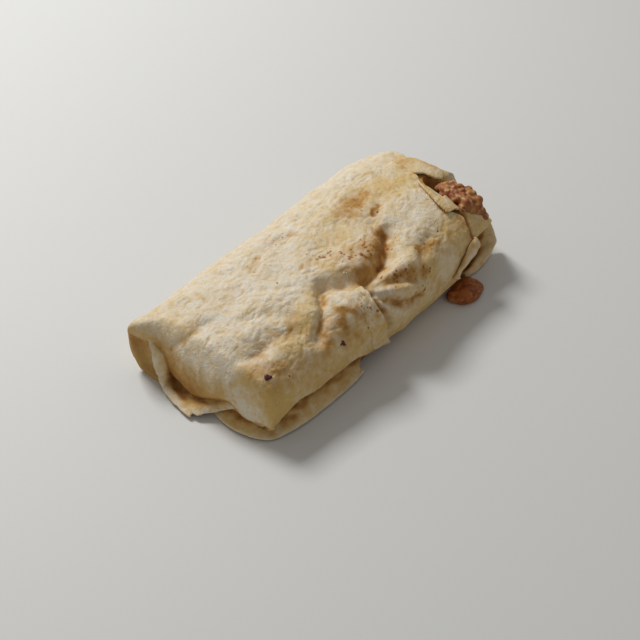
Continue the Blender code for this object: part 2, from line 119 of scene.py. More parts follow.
def section(x, angle, inset=0.0):
    back = curve(x, roll["stationX"], roll["backY"]) - inset
    front = curve(x, roll["stationX"], roll["frontY"]) + inset
    top = curve(x, roll["stationX"], roll["topZ"])
    belly = roll["belly"] * top
    c, s = np.cos(angle), np.sin(angle)
    power = np.where(s >= 0, 2 / roll["topRound"], 2 / roll["footRound"])
    y = (back + front) / 2 + (back - front) / 2 * np.sign(c) * np.abs(c) ** power
    z = belly + np.where(s >= 0, top - inset - belly, inset - belly) * np.abs(s) ** power
    return y, np.maximum(z - roll["sink"], inset)


def skinTables():  # angle and v, by x and by the share u of the way round
    steps, share = roll["aroundSteps"], roll["crownShare"]
    xs = np.linspace(roll["stationX"][0], roll["stationX"][-1], roll["alongSteps"])
    us = np.linspace(0, 1, steps)
    angles, vs = [], []
    for x in xs:
        lowFront = np.linspace(math.pi, 1.3 * math.pi, 4 * steps)
        edge = np.interp(-curve(x, roll["seamX"], roll["seamZ"]), -section(x, lowFront)[1], lowFront)
        angle, v = [], []
        for start, end, low, high in ((edge, math.pi / 2, 0, share),
                                      (math.pi / 2, math.radians(roll["footAngle"]), share, 1)):
            a = np.linspace(start, end, 4 * steps)
            y, z = section(x, a)
            run = np.concatenate(([0], np.cumsum(np.hypot(np.diff(y), np.diff(z)))))
            part = (us[(us > low if low else us >= low) & (us < high + 1e-9)] - low) / (high - low)
            angle.append(np.interp(part * run[-1], run, a))
            v.append(part * run[-1] - (0 if low else run[-1]))
        angles.append(np.concatenate(angle))
        vs.append(np.concatenate(v))
    return xs, us, np.array(angles), np.array(vs)


skinX, skinU, skinAngle, skinV = skinTables()


def readSkin(table, x, u):
    i = np.clip((x - skinX[0]) / (skinX[1] - skinX[0]), 0, len(skinX) - 1.001)
    j = np.clip(u / (skinU[1] - skinU[0]), 0, len(skinU) - 1.001)
    a, b = i.astype(int), j.astype(int)
    p, q = i - a, j - b
    near = table[a, b] * (1 - q) + table[a, b + 1] * q
    far = table[a + 1, b] * (1 - q) + table[a + 1, b + 1] * q
    return near * (1 - p) + far * p


relief = dict(
    # depth, half width, then x and v of each point
    creases=(
        (3.3, 5.2, 26, -15, 19, -21, 13, -25, 9, -26, 1, -28, -5, -28, -12, -25, -20, -19),
        (2.6, 3.2, 24, -17, 19, -21, 12, -26, 2, -29, -5, -28),
        (1.7, 2.6, -16, -23, -22, -17, -27, -18, -30, -23),
        (2.6, 2.9, -23, -16, -30, -23, -34, -28, -40, -32, -46, -36),
        (3.2, 2, -8, -31.5, -9.4, -38, -9, -44, -7.4, -50, -6, -57),
        (1.7, 2.1, -4, -33.5, 2, -37, 8, -39, 14, -42.5, 20, -44),
        (2.6, 2.2, -6.5, -36, -4, -42, 1, -47, 9, -51.5, 15, -54),
        (1.3, 3.2, 37, -1, 31, -4, 26, -6),
        (1.5, 3.4, 38, -32, 32, -34, 26, -36.5),
        (1.3, 4, -71, -23, -62, -22, -53, -27),
        (1.1, 3, -80, -19, -74, -23, -68, -24),
        (1.3, 2.6, -92, 17, -85, 11, -79, 8, -73, 7),
        (0.9, 2.4, -36, 14, -27, 21, -14, 22, -4, 17),
        (0.8, 2, -46, 4, -40, -4, -32, -8),
        (0.9, 3, -62, -6, -53, -12, -47, -20),
    ),
    # height, x, v, half length, half breadth, turn in degrees
    swells=(
        (2.5, -4, -16, 17, 10, -18), (1.2, 12, -14, 9, 6, -40), (2.4, 10, -32.5, 17, 3.8, -6),
        (2.6, 15, -37.5, 14, 6, -12), (3.4, 7, -42.6, 12, 3.2, -26), (3, -24, -35, 8, 9, 10),
        (1.6, -42, -24, 9, 6, -30), (1.6, 52, -12, 18, 14, 0), (1.2, -55, -8, 24, 14, 0),
        (1.6, -74, -33, 10, 8, 0), (-1.2, 38, 12, 12, 9, 0), (1, 10, 12, 24, 10, 0), (1, -70, -12, 9, 6, 20),
        (-1.8, -84, -6, 8, 26, 0),
    ),
    wrinkleHeight=0.36,
    # seed, direction, length, width, height
    wrinkle=((30, 0.2, 8, 4.8, 1), (31, -0.75, 7.5, 4.2, 0.8), (32, 0.9, 5.5, 3.4, 0.55),
             (33, -0.3, 4, 2.7, 0.45), (34, 1.2, 2.8, 2.2, 0.3)),
    pimple=((8, 2.7, 2.3, 0.24), (9, 1.7, 1.5, 0.15)),  # seed, length, width, height
    warp=(5, 3, 10),  # seed, push, width
    patch=(50, 15, 0.45),  # seed step, width and softness of the wrinkled patches
    pillow=(2, 0.14, 0.35),  # steepness, width of the creases between, their depth
    puff=(11, 13, 11, 0.7),  # seed, length, width, height
    # how much calmer it is at the front, back and near end, and from where to where
    calm=((0.6, -62, -46), (0.5, 60, 90), (0.6, 80, 88)),
    footFade=(0.2, 3),  # no relief below this height
)


def wrinkles(x, v):  # puffy pillows between short sharp creases, about -1 to 0.6
    warpX, warpV = warped(x, v, *relief["warp"])
    step, patch, soft = relief["patch"]
    steep, narrow, drop = relief["pillow"]
    out = np.zeros(np.shape(x))
    for seed, turn, length, width, height in relief["wrinkle"]:
        a = warpX * math.cos(turn) + warpV * math.sin(turn)
        b = -warpX * math.sin(turn) + warpV * math.cos(turn)
        n = np.abs(ripple(seed, a / length, b / width))
        here = ease(ripple(seed + step, x / patch, v / patch), -soft, soft)
        pillow = np.minimum(steep * n, 1) - drop * np.exp(-((n / narrow) ** 2)) - drop
        out += height * here * pillow
    for seed, length, width, height in relief["pimple"]:
        out += height * ripple(seed, x / length, v / width)
    return out


def reliefAt(x, v):
    out = np.zeros(np.shape(x))
    for height, cx, cv, along, across, turn in relief["swells"]:
        c, s = math.cos(math.radians(turn)), math.sin(math.radians(turn))
        p, q = ((x - cx) * c + (v - cv) * s) / along, (-(x - cx) * s + (v - cv) * c) / across
        out += height * np.exp(-(p * p + q * q))
    for depth, half, *points in relief["creases"]:
        out -= depth * np.exp(-((distanceTo(points, x, v) / half) ** 2))
    seed, length, width, height = relief["puff"]
    out += height * ripple(seed, x / length, v / width)
    (front, *frontV), (back, *backV), (end, *endX) = relief["calm"]
    calm = 1 - front + front * ease(v, *frontV) * (1 - back * ease(v, *backV))
    calm = calm * (1 - end * ease(-x, *endX))
    return out + relief["wrinkleHeight"] * calm * wrinkles(x, v)


def skinPoint(x, u, inset=0.0, flat=False):  # on the skin or inset from it, and its v
    x, u = np.broadcast_arrays(np.asarray(x, float), np.asarray(u, float))
    angle, v = readSkin(skinAngle, x, u), readSkin(skinV, x, u)
    y, z = section(x, angle, inset)
    ya, za = section(x, angle - 0.01, inset)
    yb, zb = section(x, angle + 0.01, inset)
    length = np.maximum(np.hypot(yb - ya, zb - za), 1e-9)
    rise = (0 if flat else reliefAt(x, v)) * ease(z, *relief["footFade"])
    z = np.maximum(z - rise * (yb - ya) / length, inset)
    return np.stack([x, y + rise * (zb - za) / length, z], -1), v


def onRoll(x, v, rise):  # points that stand off the skin by rise
    u = [np.interp(b, readSkin(skinV, np.full(len(skinU), a), skinU), skinU) for a, b in zip(x, v)]
    return skinPoint(x, np.array(u), inset=-rise)[0]


print("skin measured")


# mesh helpers

def roundMesh(bm, rings, firstPole, lastPole):  # a sphere whose parallels are the given rings
    count, around = rings.shape[:2]
    made = bmesh.ops.create_uvsphere(bm, u_segments=around, v_segments=count + 1, radius=1)
    keys = []
    for vert in made["verts"]:
        i = round(math.acos(max(-1.0, min(1.0, vert.co.z))) / math.pi * (count + 1)) - 1
        j = round(math.atan2(vert.co.y, vert.co.x) / (2 * math.pi) * around) % around
        place = firstPole if i < 0 else lastPole if i >= count else rings[i, j]
        vert.co = [float(c) * mm for c in place]
        keys.append((i, j))
    bmesh.ops.recalc_face_normals(bm, faces=bm.faces)
    if bm.calc_volume(signed=True) < 0:
        bmesh.ops.reverse_faces(bm, faces=bm.faces)
    return np.array(keys)


def put(name, data):
    made = bpy.data.objects.new(name, data)
    scene.collection.objects.link(made)
    return made


def lay(name, bm, body="root"):
    mesh = bpy.data.meshes.new(name)
    bm.to_mesh(mesh)
    bm.free()
    mesh.shade_smooth()
    piece = put(name, mesh)
    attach(piece, body)
    return piece


def readMesh(mesh, field):
    out = np.empty(len(mesh.vertices) * 3)
    mesh.vertices.foreach_get(field, out)
    return out.reshape(-1, 3)


def places(mesh):
    return readMesh(mesh, "co") / mm


def normals(mesh):
    return readMesh(mesh, "normal")


def setPlaces(mesh, points):
    mesh.vertices.foreach_set("co", (np.asarray(points) * mm).ravel())
    mesh.update()


def paint(mesh, **layers):  # one float attribute a layer
    for layer, values in layers.items():
        attribute = mesh.attributes.new(layer, "FLOAT", "POINT")
        attribute.data.foreach_set("value", np.asarray(values, np.float32))


def towards(points, centre):
    way = centre - points
    return way / np.maximum(np.linalg.norm(way, axis=-1, keepdims=True), 1e-9)


# outer wrap

wrap = dict(
    front=112, top=96, back=70, seam=30,  # segments round it
    backShare=0.55,  # the back segments start this far round
    nearRings=100, farRings=112, capRings=26, innerRings=44,
    seamV=-75,  # what the hidden run behind the seam is painted as
    # free edge of its overlapping flap, and how it lifts on either side: height, width
    edgeV=(-68, -58, -49, -44, -38, -31, -10, 150),
    edgeX=(-6, -9.5, -11.2, -11.8, -12.2, -11, -11, -11),
    edgeRaised=(-38, -29), edgeGap=0.12, edgeLift=((0.4, 6), (-1, 3.5)),
    # near end: rim of the draped top layer, then the wall's edge and the floor's edge
    nearV=(-58, -53, -48, -43, -38, -33, -27, -20, -15, -10, -4, 1, 5, 9, 12, 16, 20, 24, 29, 35, 40, 50,
           62, 76, 88, 104, 120, 134, 150),
    rimX=(-82, -83.2, -84, -84.5, -85, -85.5, -86, -86.6, -87.2, -88.5, -89, -89.5, -89.5, -89.2, -89,
          -88.8, -88.4, -88.3, -88.6, -91, -92, -91.5, -91.5, -91, -91, -88, -85, -83, -82),
    rimY=(-39.2, -39, -37, -33.5, -28.5, -24.5, -20, -16.5, -13.5, -9.3, -3.3, 1.5, 5.5, 9.5, 12.9, 17,
          21.6, 25, 29.5, 36, 40.5, 43, 41, 36, 24, 9, -8, -20, -31),
    rimZ=(7.6, 7.9, 9.6, 9.8, 8.3, 8, 10.6, 13, 13.2, 12.2, 9, 6.8, 5.5, 6.2, 7.6, 9, 12, 18.6, 21, 22.8,
          23.4, 19, 8, 0, 0, 0, 0, 0, 0),
    corner=((-82, -33, 0), (-82, -33.5, 1.5), (-82.5, -33, 3), (-83, -33, 5), (-83.2, -37.5, 5.8)),
    cornerSteps=(0.2, 0.35, 0.6, 0.75, 0.92),
    recessY=(-40, 14, 24, 30, 45),
    recessX=(-83.5, -83.8, -85.5, -87.6, -88.2),
    nearPole=(-84, 2, 4.6),
    nearRound=1.8, nearBoxy=((24, 34), (60, 80)), boxiness=1.4,
    nearFull=((22, 36), (46, 62)), fullness=2.4,
    recessSteps=((0.22, 0.94), (0.16, 0.85), (0.12, 0.7), (0.08, 0.5), (0.04, 0.25)),
    # far end: rim of the outer layer, and the mouth of the layer inside it
    farStation=80,
    farV=(-75, -66, -60, -56, -52, -49, -47, -45, -42, -36, -31, -28, -23, -16, -10, -5, 1, 8, 19, 40, 60,
          85, 120, 160),
    farX=(41, 41, 43, 47, 51, 55, 60.5, 62, 60, 61.5, 63, 61, 59, 60, 62.5, 66, 70.5, 74, 84, 86, 85, 83,
          78, 62),
    mouthV=(-62, -50, -46, -42, -38, -34, -28, -20, -10, -2, 4, 12, 30, 50, 75, 110, 150),
    mouthX=(87.5, 88, 88, 84, 78, 72, 68, 68, 68.5, 70, 73, 78, 85.5, 88.5, 90, 90, 89),
    mouthY=(-27, -32, -33.2, -35, -34, -31.5, -27, -17, -9, -3, -1, -7, -9, -10, -13, -18, -24),
    mouthZ=(15, 17, 19, 24, 29, 32.5, 35.5, 37.5, 38.3, 38.8, 39.5, 39.4, 38.8, 33.5, 26, 20, 15.5),
    mouthCentre=(82.5, -16.5, 27),
    mouthPole=(72, -14, 18),
    farRound=2.6, farTuck=((-60, -48), (-26, -16), 1.3), farFlare=((0, 12), (40, 60), 1.8),
    farWobble=(61, 9, 6, 0.8),  # seed, width, height, depth
    # hollow behind the lapel
    gapDepth=7, gapCentre=(60, -18, 18), gapEnd=(-48.5, -45.5), gapFull=6.4,
)


def aroundSteps():
    share, back = roll["crownShare"], wrap["backShare"]
    u = np.concatenate([np.linspace(0, share, wrap["front"], endpoint=False),
                        np.linspace(share, back, wrap["top"], endpoint=False),
                        np.linspace(back, 1, wrap["back"])])
    return u, np.arange(1, wrap["seam"]) / wrap["seam"]


def between(q, steps, points):
    return np.stack([np.interp(q, steps, column) for column in np.transpose(points)], -1)


def traced(v, knots, name):
    return np.stack([curve(v, wrap[knots], wrap[name + axis]) for axis in "XYZ"], -1)


def seamRun(x, edge, foot, q):  # from the foot up behind the bottom lip and out to the edge
    inner = edge[1] + 6.5
    corners = ((foot[1], foot[2]), (inner - 1, 0.8), (inner, max(edge[2] - 3, 2)),
               (edge[1] + 4, edge[2] - 2.2), (edge[1] + 0.7, edge[2] - 1.4), (edge[1], edge[2]))
    return np.column_stack([x, between(q, (0, 0.3, 0.6, 0.8, 0.95, 1), corners)])


def turnIn(start, end, turn, power):
    s = max(np.sin(turn * math.pi / 2), 0) ** (2 / power)
    c = max(np.cos(turn * math.pi / 2), 0) ** (2 / power)
    out = end + (start - end) * c
    out[..., 0] = start[..., 0] + ((end - start) * s)[..., 0]
    return out


aroundU, seamQ = aroundSteps()
around = len(aroundU)
startX = float(roll["stationX"][0])
nearV = skinPoint(np.full(around, startX), aroundU, flat=True)[1]
farV = skinPoint(np.full(around, wrap["farStation"]), aroundU, flat=True)[1]
farX = curve(farV, wrap["farV"], wrap["farX"])
seamV = np.full(len(seamQ), wrap["seamV"])


def marked(x, v, share=0.0):  # what each point of a ring is painted by
    return np.stack([x, np.r_[v, seamV], np.full(len(x), share)], -1)


def sideRings():  # both layers of the side, up to the far rim
    edgeX = curve(farV, wrap["edgeV"], wrap["edgeX"])
    raised = 1 - ease(farV, *wrap["edgeRaised"])
    rings, marks = [], []
    spans = ((startX, edgeX - wrap["edgeGap"], wrap["nearRings"]),
             (edgeX + wrap["edgeGap"], farX, wrap["farRings"]))
    for (low, high, count), (height, fade) in zip(spans, wrap["edgeLift"]):
        for s in np.linspace(0, 1, count):
            x = low + (high - low) * s
            top, v = skinPoint(x, aroundU)
            lift = raised * (height * np.exp(-np.abs(x - edgeX) / fade))
            outward = skinPoint(x, aroundU, flat=True)[0] - skinPoint(x, aroundU, 1, flat=True)[0]
            outward[:, 0] = 0
            top = top + outward * lift[:, None]
            xs = np.interp(seamQ, (0, 1), (x[-1], x[0]))
            openRun = seamRun(xs, top[0], top[-1], seamQ)
            ends = (math.radians(360 + roll["footAngle"]),
                    readSkin(skinAngle, x[:1], aroundU[:1])[0])
            flush = np.stack([xs, *section(xs, np.interp(seamQ, (0, 1), ends))], -1)
            shut = ease(xs, *roll["seamOpen"])[:, None]
            rings.append(np.vstack([top, openRun * (1 - shut) + flush * shut]))
            marks.append(marked(np.r_[x, xs], v))
    return rings, marks


def nearRings(first):  # from deep in the recess out to its rim and over to the first ring
    rim = traced(nearV, "nearV", "rim")
    run = np.vstack([rim[-1], wrap["corner"], rim[0]])
    corner = between(seamQ, (0, *wrap["cornerSteps"], 1), run)
    rim = np.vstack([rim, corner])
    turns = np.linspace(0, 1, wrap["capRings"] + 1)[1:]
    boxy = np.r_[band(nearV, *wrap["nearBoxy"]), 0 * seamQ][:, None] * wrap["boxiness"]
    caps = [turnIn(first, rim, t, wrap["nearRound"] + boxy) for t in turns]
    lengths = np.cumsum(np.linalg.norm(np.diff([first] + caps, axis=0), axis=2), axis=0)
    full = band(nearV, *wrap["nearFull"])
    near, marks = [], []
    for t, ring, length in zip(turns, caps, lengths):
        x, top = startX - length, ring[:around]
        lift = reliefAt(x[:around], nearV) - reliefAt(np.full(around, startX), nearV)
        lift *= ease(first[:around, 2], 0.5, 4) * math.sin(math.pi * t) ** 0.5 * 0.8
        top[:, 0] -= lift * t
        top[:, 2] += lift * (1 - t) + wrap["fullness"] * full * math.sin(math.pi * t) ** 0.6
        near.insert(0, ring)
        marks.insert(0, marked(x, nearV, t))
    across = np.roll(rim, -1, 0) - np.roll(rim, 1, 0)
    inward = np.stack([0 * across[:, 0], across[:, 2], -across[:, 1]], -1)
    inward /= np.maximum(np.linalg.norm(inward, axis=1, keepdims=True), 1e-9)
    pole = np.array(wrap["nearPole"])
    inner = rim + inward * (roll["sheet"] + 0.3) + np.array((1.0, 0, 0))
    inner[around:] = corner + (pole - corner) * 0.06
    edge = (rim + inner) / 2 - np.array((0.5, 0, 0))
    recess = []
    for acrossShare, upShare in wrap["recessSteps"]:
        ring = inner + (pole - inner) * np.array((0, acrossShare, upShare))
        ring[:, 0] = np.interp(ring[:, 1], wrap["recessY"], wrap["recessX"])
        recess.append(ring)
    return recess + [inner, edge] + near, [marks[0]] * (len(recess) + 2) + marks


def farRings(last):  # over the far rim, back behind it and in to the mouth
    sheet, seam = roll["sheet"], last[around:]
    below = band(farV, *wrap["farTuck"]) - band(farV, *wrap["farFlare"])
    under = np.vstack([skinPoint(farX - 4, aroundU, inset=sheet + 1 + below)[0],
                       seam + np.array((-4, sheet + 1, 0))])
    edge = np.vstack([skinPoint(farX, aroundU, inset=sheet)[0], seam + np.array((0, sheet, 0))])
    half = (last + edge) / 2 + np.array((0.4, 0, 0))
    mouth = traced(farV, "mouthV", "mouth")
    mouth = np.vstack([mouth, between(seamQ, (0, 1), (mouth[-1], mouth[0]))])
    hollow = np.r_[1 - ease(farV, *wrap["gapEnd"]), np.ones(len(seamQ))][:, None] * wrap["gapDepth"]
    seed, width, height, depth = wrap["farWobble"]
    turned = []
    for even in np.linspace(0, 1, wrap["innerRings"] + 1)[1:]:
        t = 0.3 * even + 0.7 * 2 / math.pi * math.asin(even ** (wrap["farRound"] / 2))
        ring = turnIn(under, mouth, t, wrap["farRound"])
        wobble = ripple(seed, ring[:, 1] / width, ring[:, 2] / height)
        ring[:, 0] += depth * wobble * math.sin(math.pi * t)
        away = towards(ring, np.array(wrap["gapCentre"])) * hollow
        turned.append(ring + away * min(1, wrap["gapFull"] * t * (1 - t)))
    inward = towards(mouth, np.array(wrap["mouthCentre"]))
    throat = mouth + inward * 1.5 - np.array((1.2, 0, 1.6))
    deep = mouth + inward * 3 - np.array((5.0, 0, 6.0))
    rings = [half, edge, under] + turned + [throat, deep]
    return rings, [marked(ring[:, 0], farV) for ring in rings]


side, sideMarks = sideRings()
near, nearMarks = nearRings(side[0])
far, farMarks = farRings(side[-1])
firstOuter, lastOuter = len(near), len(near) + len(side)
rings, marks = np.array(near + side + far), np.array(nearMarks + sideMarks + farMarks)
rings[..., 2] = np.maximum(rings[..., 2], 0.05)  # nothing below the floor
bm = bmesh.new()
keys = roundMesh(bm, rings, wrap["nearPole"], wrap["mouthPole"])
outerWrap = lay("outer_wrap", bm)
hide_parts("tortilla")
print("outer wrap", len(outerWrap.data.polygons) * 2, "triangles")

ring, last = keys[:, 0], len(marks)
here = np.clip(ring, 0, last - 1), keys[:, 1] % marks.shape[1]
outerX, outerV, rimward = marks[here].T


# where the skin is toasted, and where shade is painted into it

tints = dict(
    warp=(43, 1.9, 5),  # seed, push, width
    # strength, half width, then x and v of each point
    # some toast strokes run along creases and beside the seam flap's edge, where they paint shade as well as
    # toast
    toast_and_shading=(
        (1.1, 4.8, 22, -13, 15, -17, 9, -21, 2, -23, -6, -25), (2, 2.4, 24, -14, 20, -18, 14, -22, 8, -26),
        (0.6, 2.4, 8, -26, 1, -28, -6, -29), (0.55, 4.5, -6, -11, 2, -14, 8, -12),
        (0.5, 3, -14, -16, -6, -20), (0.5, 3, -26, -20, -18, -22, -10, -28), (1.9, 1.2, 36, -1, 31, -2.5),
        (0.6, 3, 36, 0, 29, -6), (0.85, 5.4, 40, 10, 31, 11, 22, 9), (0.9, 2.6, 34, 11, 29, 6),
        (0.6, 3, 24, 3, 18, 2), (1.2, 3.4, 1, -35.5, 9, -37.5, 16, -40, 23, -42),
        (1.4, 1.7, -8, -33, -9, -42, -7.4, -50), (1.1, 1.9, -4, -41, 2, -46, 10, -50.5, 17, -53),
        (0.6, 3, 2, -48.5, 9, -52, 16, -52), (1, 1.5, -13, -33, -13.5, -42, -12, -48),
        (0.5, 3, -20, -33, -19, -38), (0.7, 2.6, -28, -44, -27, -50), (0.5, 3.6, -29, -32, -32, -39),
        (0.8, 3, -28, -33, -32, -38, -35.5, -46), (0.9, 1.6, -25, -19, -30, -23, -34, -27, -42, -33),
        (0.8, 2.6, -24, -36, -21, -42), (1, 4, -38, -34, -44, -40), (0.6, 3, -46, -20, -52, -24),
        (0.9, 3.4, 29, -33.5, 34, -34.5, 39, -37), (0.6, 2.5, 24, -36, 29, -34),
        (0.45, 3, -83, -23, -77, -25, -71, -24), (0.3, 7, -84, -36, -74, -34),
        (0.5, 3, -80, -30, -74, -30, -70, -35), (0.5, 5, -72, -40, -66, -39, -58, -40, -50, -44),
        (0.5, 2.5, -71, -23, -60, -22, -53, -27), (0.5, 2.6, -36, 14, -27, 20, -14, 21, -4, 17),
        (0.4, 3.5, -20, -3, -12, -1), (0.25, 3.5, -76, 14, -66, 11, -58, 8),
        (0.4, 5, -60, -50, -48, -56, -38, -56), (0.6, 2.5, 75, 14, 71, 9), (0.5, 4.5, 64, -8, 68, -2),
        (0.5, 2, 25, -52, 28, -50), (0.45, 1.8, -92, 17, -85, 11, -79, 8), (0.3, 4, -96, 12, -92, 20),
        (0.9, 1.3, -9, -33, -10.5, -40, -9.5, -50, -7, -58), (0.8, 2.2, 62, -28, 62, -36, 60, -42),
        (0.5, 3, 44, -58, 52, -51, 60, -46), (0.4, 3, 66, -34, 48, -38), (0.4, 4, 30, -58, 44, -62),
        (0.5, 3, -46, -66, -30, -64),
    ),
    # the wide ochre strokes on the low front and back walls are partly the walls' own colour and partly
    # painted shade
    ochre=(
        (0.35, 6, -82, 38, -84, 26, -80, 14), (0.8, 7, -60, -30, -50, -30, -44, -24),
        (0.5, 5, -34, -20, -26, -18), (0.7, 7, -30, -46, -16, -50), (0.7, 9, -80, -46, -60, -46, -44, -50),
        (0.95, 7, -84, -30, -81, -50), (0.6, 10, 50, 4, 68, 2, 80, 16), (0.35, 14, 10, 6, 50, 10),
        (0.6, 7, 10, -42, 26, -46), (1.1, 19, -90, -72, 90, -72), (0.5, 8, 26, -34, 48, -38),
        (0.7, 12, 58, -38, 66, -50), (0.4, 22, -80, 70, 80, 70), (0.7, 40, -80, 122, 80, 122),
        (0.5, 6, 20, -20, 8, -26, -8, -28), (0.3, 12, -10, -8, 6, -4),
    ),
    freckle=(
        (1.4, 6.5, -2, -13, 8, -18, 18, -19), (1.15, 5, 4, -36, 14, -38, 24, -42),
        (0.65, 4.5, -17, -36, -18, -43, -12, -40), (0.9, 5, 26, 6, 34, 11), (0.9, 3.5, 6, -48, 20, -50),
        (0.7, 4.5, -34, 16, -10, 22), (0.8, 4, -16, -1, -6, -6), (0.4, 6, -80, 16, -60, 8),
        (0.5, 5, -60, -24, -50, -34), (0.8, 4, 28, -33, 38, -36), (0.8, 3, -8, -31, -8, -44),
    ),
)


def tintAt(layer, x, v):
    warpX, warpV = warped(x, v, *tints["warp"])
    out = np.zeros(np.shape(x))
    for strength, half, *points in tints[layer]:
        out += strength * np.exp(-((distanceTo(points, warpX, warpV) / half) ** 2))
    return out


def skinPaint(x, v):
    ragged = 0.5 + 0.5 * ripple(41, x / 4.2, v / 4.2) + 0.3 * ripple(42, x / 2, v / 2)
    blush = (0.6 * np.maximum(ripple(45, x / 8.5, v / 7.5) - 0.1, 0)
             + 0.8 * np.maximum(ripple(46, x / 3.4, v / 3.2) - 0.1, 0))
    # fold keeps the wrinkle height, which the finish turns into painted shade in the creases
    return {"toast_and_shading": tintAt("toast_and_shading", x, v) * (0.62 + 0.6 * ragged) + 0.12 * blush,
            "ochre": tintAt("ochre", x, v) * (0.7 + 0.5 * ragged) + 0.6 * blush,
            "freckle": 0.05 + tintAt("freckle", x, v),
            "fold": wrinkles(x, v)}


shade = dict(
    # painted shade on the outer wrap: where each comes and goes along v
    deep=((-30, -14), (23, 29)), brow=(26, 34), near=((-8, 4), (24, 30)),
    nearTan=(-34, -12), rim=((-56, -46), (-22, -16)), tongue=((-62, -50), (-30, -18)),
    gap=(-51, -46.5), dim=(4, 16), mouth=(-16, -6),
    wall=(5, 19), cavity=(75, -5, 5, 6), cavityHeight=(28, 34),  # x, y, widths; z
    # how much each adds, most of it painted shade, and how much the skin's own paint fades inside
    toast_and_shading=dict(recessed=1.4, throat=0.9, underRim=2.2, mouthEdge=0.5, wall=0.6,
               cavity=0.9, seam=2.4, nearTan=0.42, near=0.8, gap=2),
    ochre=dict(inside=0.35, low=0.1, cavity=0.9, recessed=0.7, throat=1.8,
               mouthEdge=1.3, tongue=0.4, nearTan=0.95, near=0.5),
    fade=dict(toast_and_shading=0.7, ochre=0.5, freckle=1),
)
placeX, placeY, placeZ = rings[here].T
inside = (ring > lastOuter + 2) * 1.0
low = (ring < firstOuter - wrap["capRings"]) * 1.0
deep = band(outerV, *shade["deep"])
brow = 0.15 * ease(ring, 3, 6) + 0.25 * (1 - ease(outerV, *shade["brow"]))
dim = 1 - ease(outerV, *shade["dim"])
curled = ease(rimward, 0.5, 1)
beyond = np.maximum(outerX - curve(outerV, wrap["farV"], wrap["farX"]) - 4.2, 0)
cavityX, cavityY, cavityLong, cavityWide = shade["cavity"]
cavity = np.exp(-(((placeX - cavityX) / cavityLong) ** 2) - ((placeY - cavityY) / cavityWide) ** 2)
# painted shade: darker, warmer colour in the recess under the near rim and on the wall below it, along the
# curled near rim, in the mouth's throat, edge and cavity, on the tongue, in a band just past the far rim,
# along the hidden seam run and in the hollow behind the lapel
masks = {
    "inside": inside,
    "low": low,
    "recessed": low * (deep + (1 - deep) * brow),
    "throat": np.clip((ring - (last - 4)) / 2, 0, 1) * dim,
    "underRim": band(outerV, *shade["rim"], inside * np.exp(-((beyond / 1.8) ** 2))),
    "mouthEdge": inside * ease(ring, last - 18, last - 4) * ease(outerV, *shade["mouth"]) * dim,
    "wall": low * (1 - deep) * ease(placeZ, *shade["wall"]),
    "cavity": inside * cavity * ease(placeZ, *shade["cavityHeight"]),
    "seam": ((keys[:, 1] >= marks.shape[1] - wrap["seam"] + 1) * (ring >= firstOuter)
             * (ring < lastOuter)),
    "tongue": band(outerV, *shade["tongue"], inside),
    "nearTan": (0.12 * ease(rimward, 0, 0.5) + 0.88 * curled) * ease(outerV, *shade["nearTan"]),
    "near": band(outerV, *shade["near"], curled),
    "gap": inside * (1 - ease(outerV, *shade["gap"])),
}
look = skinPaint(outerX, outerV)
for layer, fade in shade["fade"].items():
    look[layer] = look[layer] * (1 - fade * inside)
    for name, share in shade.get(layer, {}).items():
        look[layer] = look[layer] + share * masks[name]
paint(outerWrap.data, **look)


# loose folds of tortilla

folds = dict(
    bites=((0, 1.9, 3.3, 1), (1, 4.7, 5.1, 0.5)),  # of a torn rim: seed, pace, row, share
    crumple=((2, 4.5, 3, 1), (3, 2.1, 1.7, 0.5)),  # seed, length, width, share
    stiffRoot=(0.1, 0.6),
    freckle=(0.15, 0.15), patch=5,
    ground=0.15,  # lowest that the underside comes
)


